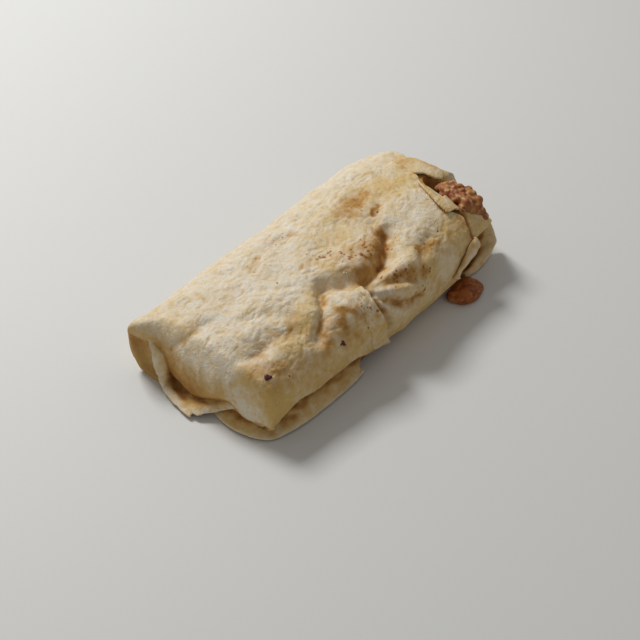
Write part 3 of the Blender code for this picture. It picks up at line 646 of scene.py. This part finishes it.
def foldSheet(name, rows, along, across, thickness=1.5, torn=0.0, seed=1, toast_and_shading=(0, 0),
              ochre=(0.3, 0.3), wrinkle=0.16, rolled=False, dents=()):
    rows = np.reshape(rows, (len(rows), -1, 3))  # x, y, z or, where rolled, x, v, rise of each point
    levels, columns = np.arange(rows.shape[0]), np.arange(rows.shape[1])
    bm = bmesh.new()
    made = bmesh.ops.create_grid(bm, x_segments=along, y_segments=across, size=0.5)
    p = np.array([(vert.co.x + 0.5) * columns[-1] for vert in made["verts"]])
    q = np.array([(vert.co.y + 0.5) * levels[-1] for vert in made["verts"]])
    bite = sum(share * torn * ripple(seed + step, p * pace, p * 0 + row)
               for step, pace, row, share in folds["bites"])
    level = q - np.abs(bite) * ease(q, levels[-1] - 1, levels[-1])
    level = np.clip(level, 0, levels[-1])
    lines = np.array([[curve(p, columns, row[:, k]) for k in range(3)] for row in rows])
    slopes = np.gradient(lines, axis=0)
    i = np.clip(np.floor(level).astype(int), 0, len(levels) - 2)
    t, pick = (level - i)[:, None], np.arange(len(p))
    a, b, da, db = (table[j, :, pick] for table in (lines, slopes) for j in (i, i + 1))
    points = a * (1 + 2 * t) * (1 - t) ** 2 + b * t * t * (3 - 2 * t)
    points = points + t * (1 - t) * (da * (1 - t) - db * t)
    share = q / levels[-1]
    look = {key: np.interp(share, np.linspace(0, 1, len(tint)), tint) for key, tint in (
        ("toast_and_shading", toast_and_shading), ("ochre", ochre), ("freckle", folds["freckle"]), ("fold", (0, 0)))}
    if rolled:
        skin = skinPaint(points[:, 0], points[:, 1])
        look = {key: look[key] + skin[key] for key in look}
        points = onRoll(*points.T)
    for vert, point in zip(made["verts"], points):
        vert.co = point * mm
    bmesh.ops.recalc_face_normals(bm, faces=bm.faces)
    piece = lay(name, bm)
    mesh = piece.data
    a, b = points[:, 0] + 0.3 * points[:, 2], points[:, 1] + points[:, 2]
    crumple = sum(share * ripple(seed + step, a / length, b / width)
                  for step, length, width, share in folds["crumple"])
    bulge = wrinkle * crumple * ease(q, *folds["stiffRoot"])
    for dentP, dentQ, halfP, halfQ, depth, brown in dents:
        hole = np.exp(-(((p - dentP) / halfP) ** 2) - ((q - dentQ) / halfQ) ** 2)
        bulge -= depth * hole * np.sign(normals(mesh)[:, 2].sum())
        look["toast_and_shading"] = look["toast_and_shading"] + brown * hole
    points = points + normals(mesh) * bulge[:, None]
    points[:, 2] = np.maximum(points[:, 2], thickness / 2 + folds["ground"])
    setPlaces(mesh, points)
    patches = 0.6 + 0.8 * ripple(seed + 4, a / folds["patch"], b / folds["patch"])
    look["toast_and_shading"] = look["toast_and_shading"] * patches
    look["ochre"] = look["ochre"] * (0.7 + 0.3 * patches)
    look["fold"] = look["fold"] + crumple
    paint(mesh, **look)
    wall = piece.modifiers.new("wall", "SOLIDIFY")
    wall.thickness, wall.offset = thickness * mm, 0
    rounding = piece.modifiers.new("round_rim", "SUBSURF")
    rounding.levels = rounding.render_levels = 1
    return piece


tuck = dict(
    rows=(  # from the hidden root to the free rim: x, y, z of each point
    (-85.5, 32, 20, -85, 29, 17, -84.5, 26, 15, -84.5, 24, 13, -84.5, 23, 10, -84.5, 21, 6.5,
     -84.5, 19.5, 4.5, -85, 17, 3.2, -86, 12, 3, -86, 8, 3.6, -86, 5, 4.6, -85.5, 3, 5.8, -85, 0, 6.8,
     -84.5, -3, 7.8, -84, -5, 8.6, -83.5, -7, 9.6, -83, -9, 10.4, -82.5, -11.5, 10.6, -82, -16, 10.6),
    (-87.5, 32, 21.5, -87.2, 29, 19, -86.6, 26, 17, -86, 23.5, 15.4, -86, 22.5, 12, -86.4, 20.6, 7,
     -87, 19.4, 4.2, -87.8, 17, 2.6, -90, 11.5, 2.6, -90.2, 6, 3, -90, 3, 3.8, -89.6, 0.5, 4.8, -89, -2, 5.6,
     -88, -4, 6.6, -87, -6, 7.6, -86, -8, 8.6, -85, -10, 9.4, -84, -12.5, 10, -83, -17, 10),
    (-88.2, 32, 23.3, -88.4, 29.1, 20.8, -88.7, 26.4, 19.4, -89, 23.9, 17.8, -89.4, 22, 15.6,
     -90.2, 20.6, 10.9, -90.8, 19.8, 8, -91.5, 18, 4.2, -93.5, 10.1, 3.2, -94.6, 4, 3.2, -94.4, 1, 3.4,
     -93.5, -1.5, 3.9, -92.6, -3.3, 4.4, -91, -5.5, 5, -89.9, -7, 5.5, -88, -9.5, 6.5, -87, -10.6, 7,
     -85.2, -13.5, 8.3, -83.7, -17.5, 9),
    (-88.6, 32.1, 22.5, -90, 30.3, 19.3, -91, 28.3, 16.8, -91.8, 27.7, 14, -92.3, 26.8, 11.7,
     -93.5, 23.1, 7.2, -94.2, 21.1, 4.5, -95.8, 15.8, 1.8, -97.2, 8.2, 1.4, -98.1, 0.9, 1.3, -97.8, -2, 1.3,
     -96.2, -1.2, 2.5, -95.6, -4.4, 2.2, -93.6, -6, 2.8, -92, -7.6, 3.3, -90, -10, 3.9, -88.1, -11.4, 4.5,
     -85.6, -14.1, 5.5, -83.7, -18.6, 8),
    ),
    # painted shade: dark and ochre at the hidden root and in the trough behind the rim, fading to the pale
    # free rim
    along=110, across=30, torn=0.17, seed=50, toast_and_shading=(2.4, 2.2, 1.8, 1, 0.3, 0.1, 0),
    ochre=(2, 2, 1.8, 1.4, 0.6, 0.2, 0),
    dents=((7.6, 1.5, 2.6, 0.8, 1.2, 1), (12.5, 1.2, 3, 0.5, 0.6, 0.5)),
)
tuckFlap = foldSheet("tuck_flap", **tuck)

lip = dict(
    rows=(
    (-17, -33, 6, -26, -34, 9, -36, -34.5, 10, -48, -34.5, 10, -60, -34, 10, -71, -32, 9, -78, -28, 7,
     -80, -20, 6, -81, -12, 5, -81, -4, 4),
    (-19, -36.2, 4.4, -27, -38, 7, -36, -38.8, 7.6, -48, -38.8, 7.8, -60, -38.5, 7.8, -71, -37.2, 7,
     -79, -34.5, 4.6, -84, -26.5, 4, -85, -15, 3.4, -84, -4, 3.2),
    (-23.4, -38.8, 2.9, -28.5, -42, 4, -36, -42.6, 3.8, -47, -42.6, 3.8, -60, -42.2, 3.8, -72, -40.8, 3.6,
     -82, -37.2, 2.6, -87.3, -28.5, 2.2, -88.8, -17, 2, -87, -4, 2),
    (-25.4, -43.8, 3.2, -30, -44.2, 2, -37, -44.3, 1.5, -46, -44.2, 1.4, -59, -43.7, 1.3, -72, -42.1, 1.3,
     -83.5, -38.6, 1.2, -89, -29, 1.2, -90.4, -17, 1.2, -88, -4, 1.2),
    ),
    # painted shade: near black at the root under the top layer's edge, fading out towards the rim
    along=110, across=20, torn=0.16, seed=60, toast_and_shading=(3.5, 3.2, 1.8, 0.6, 0.2, 0, 0),
    ochre=(1.6, 1.4, 1.2, 0.9, 0.7, 0.5, 0.2),
    dents=((5.2, 1.5, 0.9, 0.7, 1, 1), (5.9, 2.2, 0.4, 0.5, 0.5, 0.6), (2.2, 2.2, 1, 0.5, 0.3, 0.8)),
)
bottomLip = foldSheet("bottom_lip", **lip)

seam = dict(
    v=(-28, -33, -37, -41, -45, -49, -53, -57, -60.5, -63.5),
    x=(
    (-18, -20, -21, -21, -21, -20, -19.5, -19, -18, -16),
    (-13, -15.5, -17, -17, -16.8, -16, -15.5, -15, -13.6, -12),
    (-10, -12.4, -14, -14, -13.6, -13, -12.6, -12, -10.6, -9.4),
    (-7.5, -10.4, -12, -12, -11.6, -11, -10.5, -9.8, -8.4, -6.4),
    ),
    rise=(
    (0, 0, 0, 0, 0, 0, 0, 0.1, 0.2, 0.3),
    (0.2, 0.45, 0.6, 0.6, 0.6, 0.6, 0.5, 0.5, 0.6, 0.6),
    (0.2, 1, 1.3, 1.4, 1.4, 1.3, 0.95, 1, 1.1, 1.2),
    (0, 1.2, 1.8, 2, 2, 1.7, 1.1, 1.2, 1.5, 1.9),
    ),
)
seamRows = [tuple(zip(xs, seam["v"], rises)) for xs, rises in zip(seam["x"], seam["rise"])]
# painted highlight: paler along the free edge, where the lip catches the light
seamFlap = foldSheet("seam_flap", seamRows, along=64, across=22, thickness=0.9, torn=0.14, seed=65,
                     wrinkle=0.05, toast_and_shading=(0, -0.5), ochre=(0, 0), rolled=True)

tornEdge = dict(
    rows=(
    (67, -0.5, 36, 68, -6.5, 35, 68, -14, 35, 68.5, -19, 35, 69, -20.5, 35, 69, -25, 34.5, 68.5, -29, 33),
    (67.6, -0.6, 39.6, 66.2, -6.8, 39.2, 65.6, -14.6, 38.8, 66.2, -18.8, 38.6, 67.4, -19.2, 39.2,
     66.2, -24.2, 38.4, 65.4, -28.8, 37.4),
    (66.6, -1.8, 41.2, 64.8, -7.6, 41.2, 63.6, -15.2, 41, 63.6, -19.4, 40.8, 65, -20.2, 41, 63.8, -24.8, 40,
     63.4, -29.2, 38.6),
    (64.6, -3.8, 42.6, 61.8, -9.6, 43.4, 59.8, -16.6, 43.3, 59.2, -20.8, 42.9, 59.8, -23.4, 42.2,
     60.2, -26.6, 41, 62.3, -28.4, 39.4),
    (63.4, -4.8, 42.6, 59.6, -11.4, 43.6, 57.5, -17.3, 43.4, 56, -21.6, 43, 55.6, -25.2, 42.2,
     55.6, -28.2, 41, 61, -28.9, 39.8),
    ),
    # painted shade: darker and more ochre at the root under the rim, in the cavity
    along=60, across=24, thickness=0.9, torn=0.22, seed=70, toast_and_shading=(2, 0.8, 0.3, 0.15, 0.5),
    ochre=(1.4, 1, 0.8, 0.6, 1),
)
tornFlap = foldSheet("torn_flap", **tornEdge)

ear = dict(
    rows=(
    (74, 21, 38.6, 78, 19, 38.8, 81.5, 14.5, 39, 83, 9, 38.8, 83.4, 3, 38.6, 84, -1.5, 38, 83.8, -5.2, 37.4,
     82, -8.6, 36.8),
    (73, 15, 39.6, 76.6, 14.2, 40.9, 79.4, 10.8, 41.4, 80.2, 6.5, 41.5, 80.8, 2.2, 41.3, 82, -1.8, 40.8,
     82.2, -5, 40, 80.8, -8, 38.8),
    (72, 10.5, 39.4, 74, 9, 41.2, 76, 6.4, 42, 77.2, 3.4, 42.2, 78, 0, 42, 79, -3, 41.4, 79.8, -5.8, 40.4,
     79.8, -8.2, 39.2),
    (71.2, 7.8, 39.4, 71, 4.8, 40.8, 72.2, 2, 41.4, 73.8, -0.6, 41.5, 74.4, -3.6, 41.2, 75.2, -6, 40.6,
     76.8, -7.8, 39.9, 78.6, -8.6, 39.1),
    (71.6, 7.9, 38.6, 71.4, 5, 39.9, 72.8, 2.4, 40.3, 74.4, -0.2, 40.4, 75, -3.2, 40.1, 75.8, -5.6, 39.6,
     77.2, -7.4, 39.1, 78.8, -8.2, 38.6),
    ),
    along=44, across=26, thickness=1, torn=0.06, seed=80, toast_and_shading=(0.3, 0.7, 0.3, 0.1, 0.6),
    ochre=(0.6, 0.8, 0.5, 0.5, 0.9),
)
earFlap = foldSheet("ear_flap", **ear)

leaf = dict(
    rows=(
    (62, -46.1, 0.4, 59.8, -46.5, 0.6, 56, -47.3, 0.8, 52.8, -49.8, 0.8, 49.8, -52.3, 0.8, 47, -54.9, 0.7,
     44.2, -57, 0.5, 41.6, -58.2, 0.3),
    (62.1, -46.1, 0.6, 61.2, -47.4, 1.3, 58.4, -49, 1.8, 54.8, -51.3, 1.9, 51.2, -53.5, 1.7, 47.8, -55.8, 1.4,
     45.1, -57.9, 1.1, 43.2, -59.6, 0.8),
    (62.2, -46.2, 0.6, 62.1, -48, 1.3, 60.4, -50.4, 1.8, 56.6, -52.5, 1.9, 52.5, -54.5, 1.7, 48.5, -56.5, 1.4,
     46, -58.6, 1.1, 45.2, -61, 0.9),
    (62.2, -46.2, 0.4, 62.8, -48.6, 0.9, 62, -51.6, 1.2, 58.2, -53.6, 1.3, 53.6, -55.4, 1.2, 49, -57.2, 1.1,
     46.6, -59.2, 1, 47.4, -62.2, 0.8),
    (62, -46.3, -1, 62.6, -48.9, -1, 61.8, -52, -1, 58, -54, -1, 53.4, -55.8, -1, 48.8, -57.8, -1,
     46.6, -59.8, -1, 47.6, -62.9, -1),
    ),
    # painted shade: darker along the last edge, where it goes into the roll, and a little at its root
    along=46, across=22, thickness=0.9, torn=0.05, seed=90, toast_and_shading=(0.8, 0.1, 0, 0.1, 1.8),
    ochre=(0.2, -0.2, -0.3, -0.2, 0.6), rolled=True,
)
leafFold = foldSheet("leaf_fold", **leaf)

ribbon = dict(
    rows=(
    (80, -29, 15, 79, -27, 9, 77.5, -24, 5, 75.5, -22, 1.4, 73, -22, 1.1, 69, -23, 1.1, 65, -26, 1.1,
     62, -30, 1.1, 60.2, -32, 1.1),
    (84.4, -31.8, 15.4, 83, -31.2, 9.6, 81.2, -30.6, 5, 78.8, -31, 1.8, 76, -32, 1.4, 72.4, -33.6, 1.4,
     67.4, -35.6, 1.4, 63.6, -37.2, 1.6, 61, -36.6, 1.4),
    (86.6, -33.2, 17, 86, -32.9, 12.4, 85.4, -33.1, 8, 84.2, -33.6, 4.8, 80.4, -35.6, 4.4, 75.6, -37.2, 4.6,
     69.4, -38.2, 4.4, 64.4, -38.6, 3.8, 61.4, -38, 2.8),
    (88.4, -33, 17.6, 88.8, -34.8, 13.6, 89.3, -36, 9.6, 89.6, -36.8, 6, 83.6, -38.4, 3.4, 75.6, -40, 2.8,
     69, -40.2, 2.4, 63.8, -39.6, 2.2, 61.4, -38.8, 1.6),
    (88.6, -33, 16.4, 89.2, -34.9, 12.2, 90, -36, 7.4, 90.3, -36.6, 4.6, 84.6, -37.4, 0.9, 76, -39.4, 0.9,
     69, -39.9, 0.9, 63.6, -39, 0.9, 61.4, -38.4, 0.9),
    ),
    along=66, across=28, thickness=1.2, torn=0.05, seed=95,
    # painted shade: dark brown at the root deep in the hollow, fading to the pale rim
    toast_and_shading=(3.4, 3.4, 3, 1.4, 0.15, 0, 0, 0.1, 0.4),
    ochre=(1.6, 1.6, 1.6, 1.1, 0.7, 0.45, 0.3, 0.4, 0.6), dents=((5, 2.8, 2, 0.6, 0, 0.5),),
)
endRibbon = foldSheet("end_ribbon", **ribbon)
print("loose folds laid")


# filling

beans = dict(
    grain=0.5,  # voxel that the lumps are fused at
    rough=(2.4, 0.1),  # grain of the surface and its height
    core=(((76.6, -20, 27.6), (7, 12.5, 9.4)), ((62, -5, 18), (22, 20, 11)),
          ((77.5, -29, 26), (5, 6, 6))),
    # small lumps strewn over the mound, whose top falls away from its crest
    seed=7, count=46, lump=(1.2, 2.2), stretch=(0.8, 1.3), jitter=(-1.2, 0.8),
    middle=(76.8, -20), reach=(6, 11.5), lean=0.1, flat=(0.92, 0.9),
    top=38.3, crest=(-16, 0.02), farSlope=(79, 0.5), nearSlope=(74, 0.3),
    # whole ones at the mouth: x, y, z, radius
    whole=(
        (75.4, -10.8, 35.8, 3), (74.2, -27.6, 35.7, 3.7), (80.6, -29.8, 34.9, 2.6), (78.5, -30.9, 32.7, 3),
        (80, -34.6, 27.2, 2.6), (80, -14.4, 37.6, 2), (80.8, -18.4, 37.6, 1.7), (73.8, -16.3, 37.3, 1.6),
        (78.3, -21.4, 38.2, 1.6), (75.3, -24.1, 38.2, 1.7), (75, -20.2, 37.9, 1.5), (72.5, -19.4, 36.9, 1.8),
        (72.3, -23.2, 37.1, 1.8), (82.4, -22.4, 36.6, 2.2), (81.2, -25.6, 36, 2.4), (71.4, -16.4, 36.4, 1.6),
        (70.9, -27.6, 34.4, 2.9), (73.6, -30, 32.4, 2.7), (77.1, -31.5, 29.8, 2.8), (80.2, -32.6, 29.6, 2.4),
        (77.2, -17.4, 37.9, 2), (77.6, -12.2, 36.9, 2.2), (79, -25.2, 36.9, 2), (77, -28, 35.4, 2.3),
    ),
)

spoonful = dict(
    grain=0.55,
    core=(((52, -46, 2.2), (10, 7.6, 4.6)), ((49.5, -48, 3), (7, 5.2, 4.2))),
    lumps=(((55, -44.5, 4.2), (4.5, 4.5, 3.2)), ((46, -43.5, 2), (4.8, 4, 3)),
           ((58, -48, 1.6), (4.4, 4, 2.6)), ((51, -50, 3.4), (5, 3.4, 2.8))),
)


def lumpyMass(name, core, lumps, grain, node):
    bm = bmesh.new()
    for centre, radii in (*core, *lumps):
        made = bmesh.ops.create_icosphere(bm, subdivisions=3, radius=1)
        for vert in made["verts"]:
            vert.co = [(c + r * k) * mm for c, r, k in zip(centre, radii, vert.co)]
    piece = lay(name, bm)
    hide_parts(node)
    fuse = piece.modifiers.new("fuse", "REMESH")
    fuse.mode, fuse.voxel_size, fuse.use_smooth_shade = "VOXEL", grain * mm, True
    scene.view_layers[0].update()
    fused = piece.evaluated_get(bpy.context.evaluated_depsgraph_get())
    mesh = bpy.data.meshes.new_from_object(fused)
    piece.modifiers.clear()
    piece.data = mesh
    bm = bmesh.new()
    bm.from_mesh(mesh)
    for _ in range(2):
        bmesh.ops.smooth_vert(bm, verts=bm.verts, factor=0.5,
                              use_axis_x=True, use_axis_y=True, use_axis_z=True)
    bm.to_mesh(mesh)
    bm.free()
    points, (size, height) = places(mesh), beans["rough"]
    rough = np.array([noise.fractal(Vector(p / size), 0.8, 2, 3) for p in points])
    setPlaces(mesh, points + normals(mesh) * (height * rough)[:, None])
    paint(mesh, rough=rough)
    mesh.shade_smooth()
    return piece


def moundLumps():
    draw = np.random.default_rng(beans["seed"])
    (midX, midY), (reachX, reachY) = beans["middle"], beans["reach"]
    (crest, fall), (farFrom, farFall), (nearFrom, nearFall) = (
        beans[key] for key in ("crest", "farSlope", "nearSlope"))
    flatWhole, flatLump = beans["flat"]
    lumps = [((x, y, z), (r, r, r * flatWhole)) for x, y, z, r in beans["whole"]]
    for _ in range(beans["count"]):
        a, r = draw.uniform(0, 2 * math.pi), math.sqrt(draw.uniform(0, 1))
        y = midY + reachY * r * math.sin(a)
        x = midX - beans["lean"] * (y - midY) + reachX * r * math.cos(a)
        top = (beans["top"] - fall * (y - crest) ** 2 - farFall * max(0, x - farFrom)
               - nearFall * max(0, nearFrom - x) + draw.uniform(*beans["jitter"]))
        size = draw.uniform(*beans["lump"])
        wide = [size * draw.uniform(*beans["stretch"]) for _ in range(2)]
        lumps.append(((x, y, top - size * 0.6), (*wide, size * flatLump)))
    return lumps


beanFilling = lumpyMass("bean_filling", beans["core"], moundLumps(), beans["grain"], "filling")
spill = lumpyMass("spilled_paste", spoonful["core"], spoonful["lumps"], spoonful["grain"],
                  "spilled_filling")
setPlaces(spill.data, np.maximum(places(spill.data), (-999, -999, 0.05)))  # above the floor
print("filling", len(beanFilling.data.polygons) * 2, "triangles")


# flakes and crumbs

bits = dict(
    # x, v, size
    chili=((-77.4, -34, 3.4), (-76.9, -34.7, 2.6), (-36, -45, 2.6), (-35.2, -46, 1.6),
           (-37.5, -44.6, 1.2), (-68, -40, 0.9), (45, -32, 1.2), (-21, -46, 1), (-36, -1, 0.9),
           (33, -3.5, 1.2), (1, -32, 1), (2.2, -31.4, 0.8)),
    crumb=((-11, -19, 1), (-10, -19.6, 0.7), (-7, -52, 0.9), (-88, 3, 1)),
    stretch=(0.7, 1.15), bump=(1.3, 0.35), lift=0.2,
)
outerPlaces, outerNormals = places(outerWrap.data), normals(outerWrap.data)
hidden = ring < firstOuter - 20


def scatterBits(name, spots, flat, seed):
    draw, (pace, bump) = np.random.default_rng(seed), bits["bump"]
    bm = bmesh.new()
    for x, v, size in spots:
        i = np.argmin((outerX - x) ** 2 + (outerV - v) ** 2 + 1e6 * hidden)
        place, up = Vector(outerPlaces[i]), Vector(outerNormals[i])
        made = bmesh.ops.create_icosphere(bm, subdivisions=2, radius=1)
        turn = up.to_track_quat("Z", "Y")
        stretch = (*draw.uniform(*bits["stretch"], 2), flat)
        for vert in made["verts"]:
            swell = 1 + bump * noise.noise(vert.co * pace + Vector((x, v, size)))
            local = Vector(c * k for c, k in zip(vert.co, stretch)) * swell * size / 2
            vert.co = (place + up * size * flat * bits["lift"] + turn @ local) * mm
    return lay(name, bm)


chiliFlakes = scatterBits("chili_flakes", bits["chili"], 0.25, 11)
crumbs = scatterBits("crumbs", bits["crumb"], 0.7, 12)
print("flakes and crumbs", len(chiliFlakes.data.polygons) + len(crumbs.data.polygons))


# finishes

def newTree(name):
    material = bpy.data.materials.new(name)
    material.use_nodes = True
    return material, material.node_tree, material.node_tree.nodes["Principled BSDF"]


def feed(tree, node, inputs):  # links an output and sets a value
    for socket, value in dict(inputs).items():
        if hasattr(value, "is_output"):
            tree.links.new(value, node.inputs[socket])
        else:
            node.inputs[socket].default_value = value
    return node


def add(tree, kind, inputs=(), **settings):
    node = tree.nodes.new(kind)
    for key, value in settings.items():
        setattr(node, key, value)
    return feed(tree, node, inputs)


def mix(tree, factor, a, b):  # two colours
    a, b = ((*c, 1) if isinstance(c, tuple) else c for c in (a, b))
    return add(tree, "ShaderNodeMix", {0: factor, 6: a, 7: b}, data_type="RGBA").outputs[2]


def calc(tree, operation, a, b):
    return add(tree, "ShaderNodeMath", {0: a, 1: b}, operation=operation).outputs[0]


def mapRange(tree, value, low, high, start=0.0, end=1.0):
    limits = {"Value": value, "From Min": low, "From Max": high, "To Min": start, "To Max": end}
    return add(tree, "ShaderNodeMapRange", limits, clamp=True).outputs["Result"]


def noiseNode(tree, size, detail=3, roughness=0.55, distortion=0):  # size in millimetres
    place = add(tree, "ShaderNodeTexCoord").outputs["Object"]
    return add(tree, "ShaderNodeTexNoise", {
        "Vector": place, "Scale": 1000 / size, "Detail": detail, "Roughness": roughness,
        "Distortion": distortion}).outputs["Fac"]


def grained(tree, coarse, strength, distance):  # the grain's mottle and height, and its bump
    grain = add(tree, "ShaderNodeGroup", node_tree=grainTree)
    grain.inputs["Coarse"].default_value = coarse
    height = grain.outputs["Height"]
    bump = add(tree, "ShaderNodeBump", {"Height": height, "Strength": strength, "Distance": distance})
    return grain.outputs["Mottle"], height, bump.outputs["Normal"]


def layered(tree, colour, coats):  # each coat shows where its value passes its limits
    for value, limits, tint in coats:
        colour = mix(tree, mapRange(tree, value, *limits), colour, tint)
    return colour


def dress(tree, shader, colour, roughness, normal, soft, radius, shine):
    feed(tree, shader, {"Base Color": colour, "Roughness": roughness, "Normal": normal,
                        "Subsurface Weight": soft, "Subsurface Radius": radius,
                        "Specular IOR Level": shine})


def layer(tree, label):  # one of the attributes painted on the mesh
    return add(tree, "ShaderNodeAttribute", attribute_name=label).outputs["Fac"]


# dusty grain of baked dough: height for the bump, and a mottle
grainTree = bpy.data.node_groups.new("baked_grain", "ShaderNodeTree")
for label, way in (("Coarse", "INPUT"), ("Height", "OUTPUT"), ("Mottle", "OUTPUT")):
    grainTree.interface.new_socket(label, in_out=way, socket_type="NodeSocketFloat")
grainIn = grainTree.nodes.new("NodeGroupInput")
grainOut = grainTree.nodes.new("NodeGroupOutput")
fine = calc(grainTree, "MULTIPLY", noiseNode(grainTree, 1.5, 4, 0.62, 0.3), 0.45)
coarse = calc(grainTree, "MULTIPLY", noiseNode(grainTree, 3.4, 3, 0.6, 0.8), grainIn.outputs[0])
small = calc(grainTree, "MULTIPLY", noiseNode(grainTree, 3.6, 5, 0.62, 0.4), 0.7)
broad = calc(grainTree, "MULTIPLY", noiseNode(grainTree, 11, 3), 0.3)
feed(grainTree, grainOut, {"Height": calc(grainTree, "ADD", fine, coarse),
                           "Mottle": calc(grainTree, "ADD", small, broad)})

dough = dict(
    # tan and brown colour the toasting and the painted shade alike
    pale=(0.82, 0.75, 0.625), cream=(0.77, 0.61, 0.37), ochre=(0.64, 0.42, 0.125),
    tan=(0.53, 0.285, 0.072), brown=(0.28, 0.11, 0.02), spot=(0.31, 0.095, 0.018),
    grain=(0.6, 1, 0.0009),  # coarseness, strength and height of the bump
    freckle=1.9, shake=1.1,  # millimetres between freckles; grain of their outline
)


def tortillaFinish(name, warmth, roughness):
    material, tree, shader = newTree(name)
    mottle, height, bump = grained(tree, *dough["grain"])
    ochre = calc(tree, "MULTIPLY", layer(tree, "ochre"), mapRange(tree, mottle, 0.3, 0.7, 0.7, 1.2))
    ochre = calc(tree, "ADD", ochre, warmth)
    toast_and_shading = calc(tree, "MULTIPLY", layer(tree, "toast_and_shading"), mapRange(tree, mottle, 0.3, 0.7, 0.5, 1.4))
    # painted shade: the grain's dips and the wrinkle creases get more ochre
    grainShade = mapRange(tree, height, 0.52, 0.34, 0, 0.16)
    creaseShade = calc(tree, "ADD", mapRange(tree, layer(tree, "fold"), 0.1, -0.9, 0, 0.42), grainShade)
    creamy = calc(tree, "ADD", mapRange(tree, mottle, 0.38, 0.66, 0, 0.8),
                  calc(tree, "MULTIPLY", ochre, 0.8))
    golden = calc(tree, "ADD", ochre, creaseShade)
    # freckles: cells of their own size, with an uneven outline
    place = add(tree, "ShaderNodeTexCoord").outputs["Object"]
    shake = add(tree, "ShaderNodeTexNoise", {"Vector": place, "Scale": 1000 / dough["shake"]})
    shaken = add(tree, "ShaderNodeVectorMath", {0: shake.outputs["Color"], 1: (0.0014,) * 3, 2: place},
                 operation="MULTIPLY_ADD").outputs["Vector"]
    cells = add(tree, "ShaderNodeTexVoronoi", {"Vector": shaken, "Scale": 1000 / dough["freckle"]})
    where = mapRange(tree, noiseNode(tree, 7, 2), 0.38, 0.6)
    each = mapRange(tree, cells.outputs["Color"], 0.26, 0.7, 0, 0.6)
    size = calc(tree, "MULTIPLY", calc(tree, "MULTIPLY", layer(tree, "freckle"), where), each)
    dot = calc(tree, "SUBTRACT", size, cells.outputs["Distance"])
    colour = layered(tree, dough["pale"], (
        (creamy, (0, 1), dough["cream"]), (golden, (0.1, 1.3, 0, 0.95), dough["ochre"]),
        (toast_and_shading, (0.1, 1), dough["tan"]), (toast_and_shading, (0.8, 2.2), dough["brown"]),
        (dot, (-0.3, 0.02, 0, 0.5), dough["tan"]), (dot, (-0.02, 0.12, 0, 0.9), dough["spot"])))
    rough = mapRange(tree, mottle, 0.3, 0.7, roughness - 0.08, roughness + 0.1)
    dress(tree, shader, colour, rough, bump, 0.12, (0.004, 0.002, 0.001), 0.35)
    return material


def pasteFinish(name, dark, mid, light, gloss=0.42):
    material, tree, shader = newTree(name)
    mottle, _, bump = grained(tree, 0.9, 0.4, 0.0006)
    colour = layered(tree, dark, (
        (noiseNode(tree, 5, 3), (0.38, 0.62), mid), (layer(tree, "rough"), (0.05, 0.5, 0, 0.8), light),
        (mottle, (0.5, 0.7, 0, 0.35), light)))
    rough = mapRange(tree, mottle, 0.35, 0.65, gloss, gloss + 0.2)
    dress(tree, shader, colour, rough, bump, 0.1, (0.003, 0.0012, 0.0008), 0.3)
    return material


def bitFinish(name, dark, light, roughness):
    material, tree, shader = newTree(name)
    colour = mix(tree, mapRange(tree, noiseNode(tree, 0.6, 2), 0.35, 0.65), dark, light)
    feed(tree, shader, {"Base Color": colour, "Roughness": roughness})
    return material


finishes = (
    (tortillaFinish("toasted_skin", 0, 0.62), (outerWrap, tornFlap, seamFlap, earFlap, leafFold)),
    (tortillaFinish("folded_inside", 0.15, 0.6), (tuckFlap, bottomLip, endRibbon)),
    (pasteFinish("bean_paste", (0.25, 0.055, 0.015), (0.4, 0.155, 0.042), (0.66, 0.4, 0.17)),
     (beanFilling,)),
    (pasteFinish("spilled_bean_paste", (0.22, 0.05, 0.008), (0.37, 0.105, 0.02),
                 (0.46, 0.17, 0.045)), (spill,)),
    (bitFinish("dried_chili", (0.05, 0.004, 0.006), (0.14, 0.012, 0.012), 0.45), (chiliFlakes,)),
    (bitFinish("pale_crumb", (0.8, 0.68, 0.42), (0.9, 0.82, 0.6), 0.5), (crumbs,)),
)
for finish, pieces in finishes:
    for piece in pieces:
        piece.data.materials.clear()
        piece.data.materials.append(finish)
print("finishes made")


# camera, floor and light

studio = dict(
    eye=(-0.3444, -0.2925, 0.4177), aim=(0.5612, 0.4878, -0.6687),
    lens=69.73, sensor=36, shift=(0.0034, -0.0475), nearest=0.01,
    floorSize=3, floor={"Base Color": (0.72, 0.72, 0.7, 1), "Roughness": 0.6},
    sky={"Color": (1, 0.98, 0.95, 1), "Strength": 0.28},
    lampWay=(0.13, 0.87, 1), lampAway=1.2, lampSize=0.32, lampEnergy=9.6,
)
cameraData = bpy.data.cameras.new("camera")
cameraData.lens, cameraData.sensor_width = studio["lens"], studio["sensor"]
cameraData.shift_x, cameraData.shift_y = studio["shift"]
cameraData.clip_start = studio["nearest"]
camera = put("camera", cameraData)
camera.location = studio["eye"]
camera.rotation_euler = Vector(studio["aim"]).to_track_quat("-Z", "Y").to_euler()
scene.camera = camera

floorMesh = bpy.data.meshes.new("floor")
bm = bmesh.new()
bmesh.ops.create_grid(bm, x_segments=1, y_segments=1, size=studio["floorSize"])
bm.to_mesh(floorMesh)
bm.free()
floor = put("floor", floorMesh)
floorFinish, tree, shader = newTree("floor_finish")
feed(tree, shader, studio["floor"])
floorMesh.materials.append(floorFinish)

world = bpy.data.worlds.new("studio")
scene.world = world
world.use_nodes = True
feed(world.node_tree, world.node_tree.nodes["Background"], studio["sky"])
keyLight = bpy.data.lights.new("key", "AREA")
keyLight.size, keyLight.energy = studio["lampSize"], studio["lampEnergy"]
key = put("key", keyLight)
way = Vector(studio["lampWay"]).normalized()
key.location = way * studio["lampAway"]
key.rotation_euler = (-way).to_track_quat("-Z", "Y").to_euler()
scene.view_settings.view_transform = "Standard"
